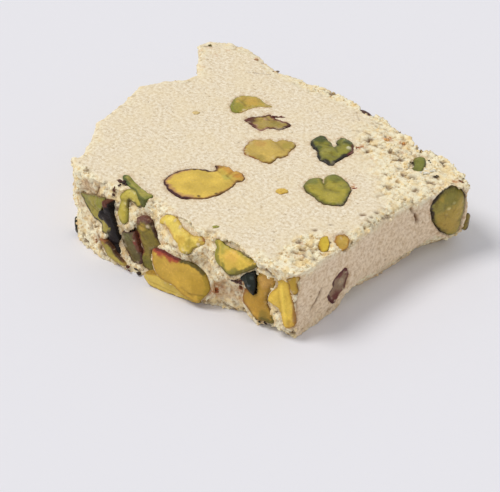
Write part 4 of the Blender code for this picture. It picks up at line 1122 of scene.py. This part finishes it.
for kernel in shaped_kernels:
    close, local, inside = near_kernel(kernel)
    outside = np.maximum(-inside, 0)
    rim_level = -0.12 - 0.3 * outside + 0.3 * swell(rest[close], 1.2, 81)
    pull = kernel.collar * np.exp(-(outside / 1.6) ** 2) * step_up(local[:, 2], -3.4, -1.8)
    pull = pull * (ways[close] @ kernel.axes[2] > 0.1)
    pull = pull * (1 - step_up(local[:, 1], kernel.lean[0] + 1.0, kernel.lean[0] + 3.0))
    moved[close] += kernel.axes[2] * (pull * np.maximum(rim_level - local[:, 2], 0))[:, None]
for kernel in shaped_kernels:
    close, local, inside = near_kernel(kernel)
    down = step_up(inside, -0.1, 0.2) * np.maximum(local[:, 2] + 0.55, 0)
    edge = np.exp(-((inside + 0.1) / 0.2) ** 2)
    down = down + 0.18 * edge * step_up(swell(rest[close], 1.9, 80), -0.15, 0.7)
    moved[close] -= kernel.axes[2] * down[:, None]
    soaked = 0.6 * np.exp(-(np.minimum(inside, 0) / 0.8) ** 2) * (np.abs(local[:, 2]) < 1.6)
    oily[close] = np.maximum(oily[close], soaked)
sway = 0.3 * np.column_stack([swell(rest, 1.0, seed) for seed in (83, 86, 87)])
ragged = 0.3 * swell(rest, 0.5, 84) + 0.5 * step_up(swell(rest, 1.1, 85), 0.1, 0.5)
for points, half_width, deep in CRACKS:
    for start, end in zip(points, points[1:]):
        beside = np.linalg.norm(beside_run(rest, np.array(start), np.array(end)) + sway, axis=1)
        dip = np.exp(-((beside + ragged * half_width) / (1.3 * half_width)) ** 2)
        moved -= ways * (deep * dip)[:, None]
        # The cracks are darkened too, as painted shade.
        pit = np.maximum(pit, 0.95 * dip)
moved[:, 2] = np.maximum(moved[:, 2], 0.0)
# The air holes are darkened as painted shade.
pit = np.clip(np.maximum(pit, hole * 0.6), 0, 1)

# The mesh is thinned, and each point that is left keeps the values of the dense mesh at its place.
move_to(paste_mesh, moved)
dense_tree = KDTree(len(moved))
for index, point in enumerate(moved.tolist()):
    dense_tree.insert(point, index)
dense_tree.balance()
triangles = sum(len(polygon.vertices) - 2 for polygon in paste_mesh.polygons)
paste_mesh = worked_mesh(paste_mesh, ("DECIMATE", {"ratio": min(1.0, PASTE_TRIANGLES / triangles)}))
matches = [dense_tree.find(point)[1] for point in places(paste_mesh).tolist()]
for name, dense in (("crumb", rough), ("hollow", pit), ("oil", oily), ("knife", knife_part),
                    ("spot", spotted)):
    keep_value(paste_mesh, name, dense[matches])
move_to(paste_mesh, places(paste_mesh) * MM)
paste_mesh.name = "halva"
for polygon in paste_mesh.polygons:       # the flat base meets the sides at an edge
    polygon.use_smooth = polygon.normal.z > -0.98 or polygon.center.z > 0.2 * MM
halva = set_out("halva", paste_mesh)

paste = Recipe("sesame_paste")
crumb, hollow, oil, knife, spot = (paste.kept(name) for name in ("crumb", "hollow", "oil", "knife", "spot"))
grain = paste.cloud(0.75, detail=4.0, rough=0.68)
fine = paste.cloud(0.34, detail=2.0, rough=0.6)
fibre = paste.cloud(1.2, detail=3.0, rough=0.6, where=paste.stretched((1.0, 3.0, 2.0)))
speck = paste.add("ShaderNodeTexVoronoi", Vector=paste.where, Scale=1 / (0.95 * MM)).outputs["Distance"]
fine_pit = paste.maths("MULTIPLY", paste.span(speck, 0.22, 0.08), paste.span(paste.cloud(1.7), 0.42, 0.6))
crumb_colour = paste.blend(tint(204, 166, 106), tint(255, 247, 214),
                           paste.span(paste.cloud(0.8, detail=4.0, rough=0.65), 0.31, 0.54))
crumb_colour = paste.wash(crumb_colour, tint(246, 214, 144), paste.span(paste.cloud(1.8), 0.48, 0.64), 0.65)
knife_colour = paste.blend(tint(206, 172, 136), tint(248, 220, 188), paste.span(grain, 0.32, 0.62))
oil_colour = paste.blend(tint(164, 112, 62), tint(218, 182, 130), paste.span(grain, 0.36, 0.62))
soaked = paste.maths("MULTIPLY", oil, paste.span(paste.cloud(1.4, detail=3.0), 0.36, 0.6))
marked = paste.maths("MULTIPLY", spot, paste.span(paste.cloud(0.6, detail=3.0), 0.36, 0.6))
colour = paste.blend(tint(216, 195, 160), tint(252, 241, 218), paste.span(grain, 0.3, 0.68))
for over, share, strength in (
    (tint(207, 186, 150), paste.span(fine, 0.55, 0.75), 0.5),
    (tint(219, 196, 158), paste.span(fibre, 0.52, 0.72), 0.5),
    (tint(238, 219, 180), paste.span(paste.cloud(6.0), 0.35, 0.7), 0.35),
    (tint(180, 152, 108), fine_pit, 0.6),
    (crumb_colour, crumb, 0.85),
    (knife_colour, knife, 0.6),
    (oil_colour, soaked, 0.8),
    (tint(190, 116, 58), marked, 0.85),
    # Painted shade with brown: the pits, cracks and holes darkened.
    (tint(104, 64, 30), hollow, 0.95),
):
    colour = paste.wash(colour, over, share, strength)
coarse = paste.raised(paste.cloud(1.0, detail=4.0, rough=0.65), 0.26, 0.9)
roughness = paste.maths("SUBTRACT", 0.9, paste.maths("MULTIPLY", soaked, 0.35))
paste.surface(Base_Color=colour, Roughness=roughness, Specular_IOR_Level=0.25,
              Normal=paste.raised(fine, 0.1, 0.8, under=coarse))
halva.data.materials.clear()
halva.data.materials.append(paste.material)
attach(halva, "root")
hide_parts("halva_slab")


# ================================================================================================
# Loose crumbs. Grains of the same paste that broke away and stuck again: along the worn rims, in the
# broken sides and over the edges of the kernels.
# ================================================================================================

CRUMB_COUNT = 2600
CRUMB_SIZES = 0.16, 0.5   # half the width of the smallest and of the largest
CRUMB_KINDS = 3

crumb_kinds = bpy.data.collections.new("crumb_kinds")
for kind in range(CRUMB_KINDS):
    grain_of_paste = bmesh.new()
    bmesh.ops.create_icosphere(grain_of_paste, subdivisions=1, radius=MM)
    corners = np.array([vert.co[:] for vert in grain_of_paste.verts])
    bumpy = 1 + 0.35 * swell(corners / MM, 0.8, 200 + kind)
    for vert, factor in zip(grain_of_paste.verts, bumpy):
        vert.co = vert.co * factor
        vert.co.z *= 0.7
    crumb_mesh = mesh_from(grain_of_paste, f"crumb_kind_{kind}")
    keep_value(crumb_mesh, "crumb", np.ones(len(corners)))
    crumb_kinds.objects.link(bpy.data.objects.new(f"crumb_kind_{kind}", crumb_mesh))

scatter = bpy.data.node_groups.new("scatter_crumbs", "GeometryNodeTree")
for name, kind, way in (("Geometry", "Geometry", "INPUT"), ("Density", "Float", "INPUT"),
                        ("Smallest", "Float", "INPUT"), ("Largest", "Float", "INPUT"),
                        ("Seed", "Int", "INPUT"), ("Geometry", "Geometry", "OUTPUT")):
    scatter.interface.new_socket(name, in_out=way, socket_type="NodeSocket" + kind)
given = new_node(scatter, "NodeGroupInput").outputs
worn_value = new_node(scatter, "GeometryNodeInputNamedAttribute", {"data_type": "FLOAT"}, Name="crumb")
where_worn = new_node(scatter, "ShaderNodeMapRange", Value=worn_value.outputs["Attribute"], From_Min=0.5,
                      From_Max=0.95)
density = new_node(scatter, "ShaderNodeMath", {"operation": "MULTIPLY"},
                   {0: where_worn.outputs["Result"], 1: given["Density"]})
spots = new_node(scatter, "GeometryNodeDistributePointsOnFaces", Mesh=given["Geometry"],
                 Density=density.outputs["Value"], Seed=given["Seed"])
kinds = new_node(scatter, "GeometryNodeCollectionInfo", Collection=crumb_kinds, Separate_Children=True,
                 Reset_Children=True)
sizes = new_node(scatter, "FunctionNodeRandomValue", {"data_type": "FLOAT"},
                 {2: given["Smallest"], 3: given["Largest"]}, Seed=5)
turns = new_node(scatter, "FunctionNodeRandomValue", {"data_type": "FLOAT_VECTOR"},
                 {1: (math.tau, math.tau, math.tau)}, Seed=6)
placed = new_node(scatter, "GeometryNodeInstanceOnPoints", Points=spots.outputs["Points"],
                  Instance=kinds.outputs["Instances"], Pick_Instance=True, Rotation=turns.outputs[0],
                  Scale=sizes.outputs[1])
whole = new_node(scatter, "GeometryNodeRealizeInstances", Geometry=placed.outputs["Instances"])
dressed = new_node(scatter, "GeometryNodeSetMaterial", Geometry=whole.outputs["Geometry"],
                   Material=paste.material)
new_node(scatter, "NodeGroupOutput", Geometry=dressed.outputs["Geometry"])

bed = set_out("crumb_bed", paste_mesh)
spread = bed.modifiers.new("Crumbs", "NODES")
spread.node_group = scatter
sockets = {item.name: item.identifier for item in scatter.interface.items_tree if item.in_out == "INPUT"}
worn_area = sum(
    polygon.area for polygon in paste_mesh.polygons
    if paste_mesh.attributes["crumb"].data[polygon.vertices[0]].value > 0.6
)
spread[sockets["Density"]] = CRUMB_COUNT / worn_area
spread[sockets["Smallest"]], spread[sockets["Largest"]] = CRUMB_SIZES
spread[sockets["Seed"]] = 11
graph = bpy.context.evaluated_depsgraph_get()
crumbs_mesh = bpy.data.meshes.new_from_object(bed.evaluated_get(graph))
bed.modifiers.remove(spread)
for helper in (bed, *crumb_kinds.objects):
    bpy.data.objects.remove(helper, do_unlink=True)
bpy.data.collections.remove(crumb_kinds)
crumbs_mesh.name = "loose_crumbs"
for vertex in crumbs_mesh.vertices:
    vertex.co.z = max(vertex.co.z, 0.0)
loose_crumbs = set_out("loose_crumbs", crumbs_mesh)
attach(loose_crumbs, "root")


# ================================================================================================
# Bits of pistachio. Flecks of kernel and flakes of the papery brown skin that came off in the press,
# stuck in the paste beside the kernels.
# ================================================================================================

FLECK_YELLOW, FLECK_GREEN = (206, 170, 72), (150, 148, 66)
FLECK_BROWN, FLECK_DARK = (96, 50, 30), (46, 28, 20)
BITS = [                  # middle, length, width, height, turn about the up axis, colour, pieces
    ((17.7, -4.7, 18.0), 2.6, 1.9, 0.5, 47, FLECK_YELLOW, 1),
    ((17.8, -23.9, 18.0), 1.3, 0.9, 0.3, 60, FLECK_GREEN, 1),
    ((-19.2, 2.9, 18.0), 1.9, 1.2, 0.25, 47, (224, 196, 134), 1),
    ((-9.8, -27.8, 18.0), 1.3, 0.9, 0.6, 20, FLECK_BROWN, 3),
    ((-8.7, -28.0, 18.0), 1.6, 1.0, 0.7, 10, (72, 34, 24), 4),
    ((-7.8, -28.0, 18.0), 1.8, 1.2, 0.8, -10, FLECK_DARK, 4),
    ((-8.4, -28.9, 17.8), 1.2, 0.8, 0.8, 40, (72, 34, 24), 3),
    ((-8.7, -29.8, 17.2), 0.8, 0.7, 1.8, 0, FLECK_BROWN, 3),
    ((-8.4, -30.6, 16.3), 0.8, 0.6, 1.5, 0, (72, 34, 24), 3),
    ((-5.9, 14.9, 18.0), 2.6, 0.7, 0.5, 38, (88, 30, 28), 4),
    ((-4.3, 16.6, 18.0), 2.2, 0.7, 0.5, 54, (100, 42, 32), 4),
    ((16.6, 19.9, 18.0), 1.5, 0.6, 0.4, 75, (176, 104, 66), 3),
    ((15.0, 19.2, 18.0), 1.3, 0.7, 0.4, 40, (112, 40, 40), 3),
    ((27.3, 7.9, 18.0), 1.3, 0.7, 0.4, 80, (150, 76, 56), 3),
    ((18.3, 27.7, 17.8), 1.6, 1.1, 0.6, 40, (214, 158, 92), 4),
    ((21.3, 29.6, 17.5), 1.0, 0.8, 0.5, 10, (190, 134, 70), 3),
    ((28.9, 24.6, 17.6), 0.7, 0.6, 0.9, 0, FLECK_DARK, 2),
    ((30.6, 28.5, 17.4), 0.9, 0.6, 0.7, 20, (60, 48, 34), 2),
    ((30.6, 22.4, 17.9), 1.6, 0.9, 0.6, 70, CREAM, 4),
    ((33.2, 23.6, 17.8), 2.0, 0.9, 0.7, 40, (250, 246, 232), 5),
    ((34.2, 25.8, 17.7), 1.9, 0.9, 0.7, 60, (250, 246, 232), 5),
    ((32.2, 25.6, 17.8), 1.6, 0.8, 0.7, 20, (250, 244, 226), 4),
    ((35.6, 24.6, 17.7), 1.5, 0.5, 0.5, 50, FLECK_DARK, 3),
    ((-40.1, 26.0, 17.9), 1.2, 0.8, 0.6, 0, (110, 98, 46), 3),
    ((-27.4, 29.6, 17.8), 1.3, 0.8, 0.5, 40, (176, 134, 96), 3),
    ((-20.8, 29.6, 17.8), 1.4, 0.7, 0.5, 30, (120, 100, 80), 3),
    ((19.6, -26.9, 4.6), 1.9, 0.6, 1.2, 30, (190, 108, 52), 5),
    ((20.6, -26.6, 3.9), 1.6, 0.6, 1.0, 30, (164, 92, 48), 4),
    ((27.3, -25.6, 9.4), 1.2, 0.8, 1.0, 0, (110, 66, 52), 3),
    ((25.2, -25.4, 9.6), 2.2, 0.6, 0.9, 12, (58, 34, 32), 5),
    ((25.8, -25.2, 8.6), 2.2, 0.6, 1.3, 12, (92, 58, 50), 5),
    ((26.4, -24.8, 7.2), 1.2, 0.5, 1.4, 12, (146, 88, 52), 4),
    ((31.9, -24.6, 1.3), 1.6, 0.8, 0.8, 20, (60, 56, 30), 3),
    ((33.6, -24.2, 1.7), 1.0, 0.7, 0.9, 0, FLECK_DARK, 3),
    ((-9.7, -33.6, 4.9), 1.4, 0.8, 1.0, 0, (170, 110, 66), 4),
    ((-11.2, -33.6, 4.0), 1.0, 0.7, 0.8, 0, (160, 106, 70), 3),
    ((-3.4, -32.9, 1.5), 2.0, 0.9, 1.0, 0, (58, 36, 26), 4),
    ((-1.6, -32.6, 1.0), 2.2, 0.9, 1.0, 0, FLECK_BROWN, 4),
    ((0.6, -32.3, 0.8), 2.0, 0.9, 0.9, 0, (52, 34, 24), 4),
    ((40.6, 28.0, 17.3), 1.6, 0.9, 0.6, 0, (146, 96, 60), 4),
    ((41.2, 29.2, 16.2), 1.2, 0.9, 0.8, 0, (180, 160, 96), 3),
]


def turned_by(angle):
    """What turns level points about the up axis, as a matrix to multiply them by."""
    cos, sin = math.cos(angle), math.sin(angle)
    return np.array(((cos, sin, 0), (-sin, cos, 0), (0, 0, 1)))


bed_shape = bmesh.new()
bed_shape.from_mesh(paste_mesh)
bmesh.ops.scale(bed_shape, vec=(1 / MM,) * 3, verts=bed_shape.verts)
bed_tree = tree_of(bed_shape)
bed_shape.free()

flecks = bmesh.new()
fleck_tones = []
for number, (middle, length, width, height, turn, colour, pieces) in enumerate(BITS):
    chance = np.random.default_rng(500 + number)
    size = np.array((length, width, height))
    touched, way, _, _ = bed_tree.find_nearest(Vector(middle))
    middle = np.array(touched + way * 0.18 * height)
    for part in range(pieces):
        fleck = bmesh.new()
        bmesh.ops.create_icosphere(fleck, subdivisions=2 if pieces > 1 else 3, radius=1.0)
        corners = np.array([vert.co[:] for vert in fleck.verts])
        seed = 300 + 7 * number + part
        bumpy = 1 + 0.4 * swell(corners, 0.8, seed) + 0.2 * swell(corners, 0.4, seed + 1)
        spin = chance.uniform(-0.7, 0.7)
        share = 1.0 if pieces == 1 else chance.uniform(0.4, 0.62)
        corners = corners * bumpy[:, None] * size / 2 * share
        if pieces > 1:
            corners = corners @ turned_by(spin) + size * chance.uniform(-0.42, 0.42, 3) * (1, 1, 0.8)
        corners = corners @ turned_by(math.radians(turn)) + middle
        corners[:, 2] = np.maximum(corners[:, 2], 0.0)
        for vert, place in zip(fleck.verts, corners):
            vert.co = place
        shade = chance.uniform(0.75, 1.25) * (1 + 0.3 * swell(corners, 0.5, 302))
        fleck_tones.append(shade[:, None] * np.array(tint(*colour)[:3]))
        flecks.from_mesh(mesh_from(fleck, "fleck"))
fleck_tones = np.concatenate(fleck_tones)
fleck_mesh = mesh_from(flecks, "pistachio_bits")
keep_tone(fleck_mesh, fleck_tones)
keep_value(fleck_mesh, "skin", np.ones(len(fleck_tones)))
move_to(fleck_mesh, places(fleck_mesh) * MM)
for polygon in fleck_mesh.polygons:
    polygon.use_smooth = True
fleck_mesh.materials.append(finishes["olive"])
pistachio_bits = set_out("pistachio_bits", fleck_mesh)
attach(pistachio_bits, "root")


# ================================================================================================
# The table, the light and the camera.
# ================================================================================================

TABLE_REACH = 3.0         # metres
SUN_WAY = Vector((-0.36, -0.36, 0.86))
AIM = Vector((9.5, -6.5, 0.0)) * MM
AZIMUTH, ELEVATION = math.radians(47.5), math.radians(36.0)
CAMERA_DISTANCE = 0.430   # metres
PIXELS_PER_MM = 4.45
PICTURE_WIDTH = 500
SENSOR_WIDTH = 36.0

ground_mesh = bpy.data.meshes.new("ground")
sides = ((-1, -1), (1, -1), (1, 1), (-1, 1))
ground_mesh.from_pydata([(i * TABLE_REACH, k * TABLE_REACH, 0) for i, k in sides], [], [(0, 1, 2, 3)])
board = Recipe("pale_board")
board.surface(Base_Color=tint(232, 231, 236), Roughness=0.9, Specular_IOR_Level=0.1)
ground_mesh.materials.append(board.material)
ground = set_out("ground", ground_mesh)

world = bpy.data.worlds.new("studio")
bpy.context.scene.world = world
world.use_nodes = True
sky = world.node_tree.nodes["Background"].inputs
sky["Color"].default_value = (0.97, 0.98, 1.0, 1.0)
sky["Strength"].default_value = 0.60
lamp = bpy.data.lights.new("softbox", "SUN")
lamp.energy = 1.5
lamp.angle = math.radians(24)
lamp.color = (1.0, 0.985, 0.96)
set_out("softbox", lamp).rotation_euler = SUN_WAY.normalized().to_track_quat("Z", "Y").to_euler()

lens = bpy.data.cameras.new("camera")
lens.sensor_width = SENSOR_WIDTH
lens.lens = SENSOR_WIDTH * PIXELS_PER_MM * CAMERA_DISTANCE / MM / PICTURE_WIDTH
lens.clip_end = 10.0
camera = set_out("camera", lens)
back = Vector((math.sin(AZIMUTH) * math.cos(ELEVATION), -math.cos(AZIMUTH) * math.cos(ELEVATION),
               math.sin(ELEVATION)))
camera.location = AIM + back * CAMERA_DISTANCE
camera.rotation_euler = back.to_track_quat("Z", "Y").to_euler()
bpy.context.scene.camera = camera
bpy.context.scene.view_settings.view_transform = "Standard"
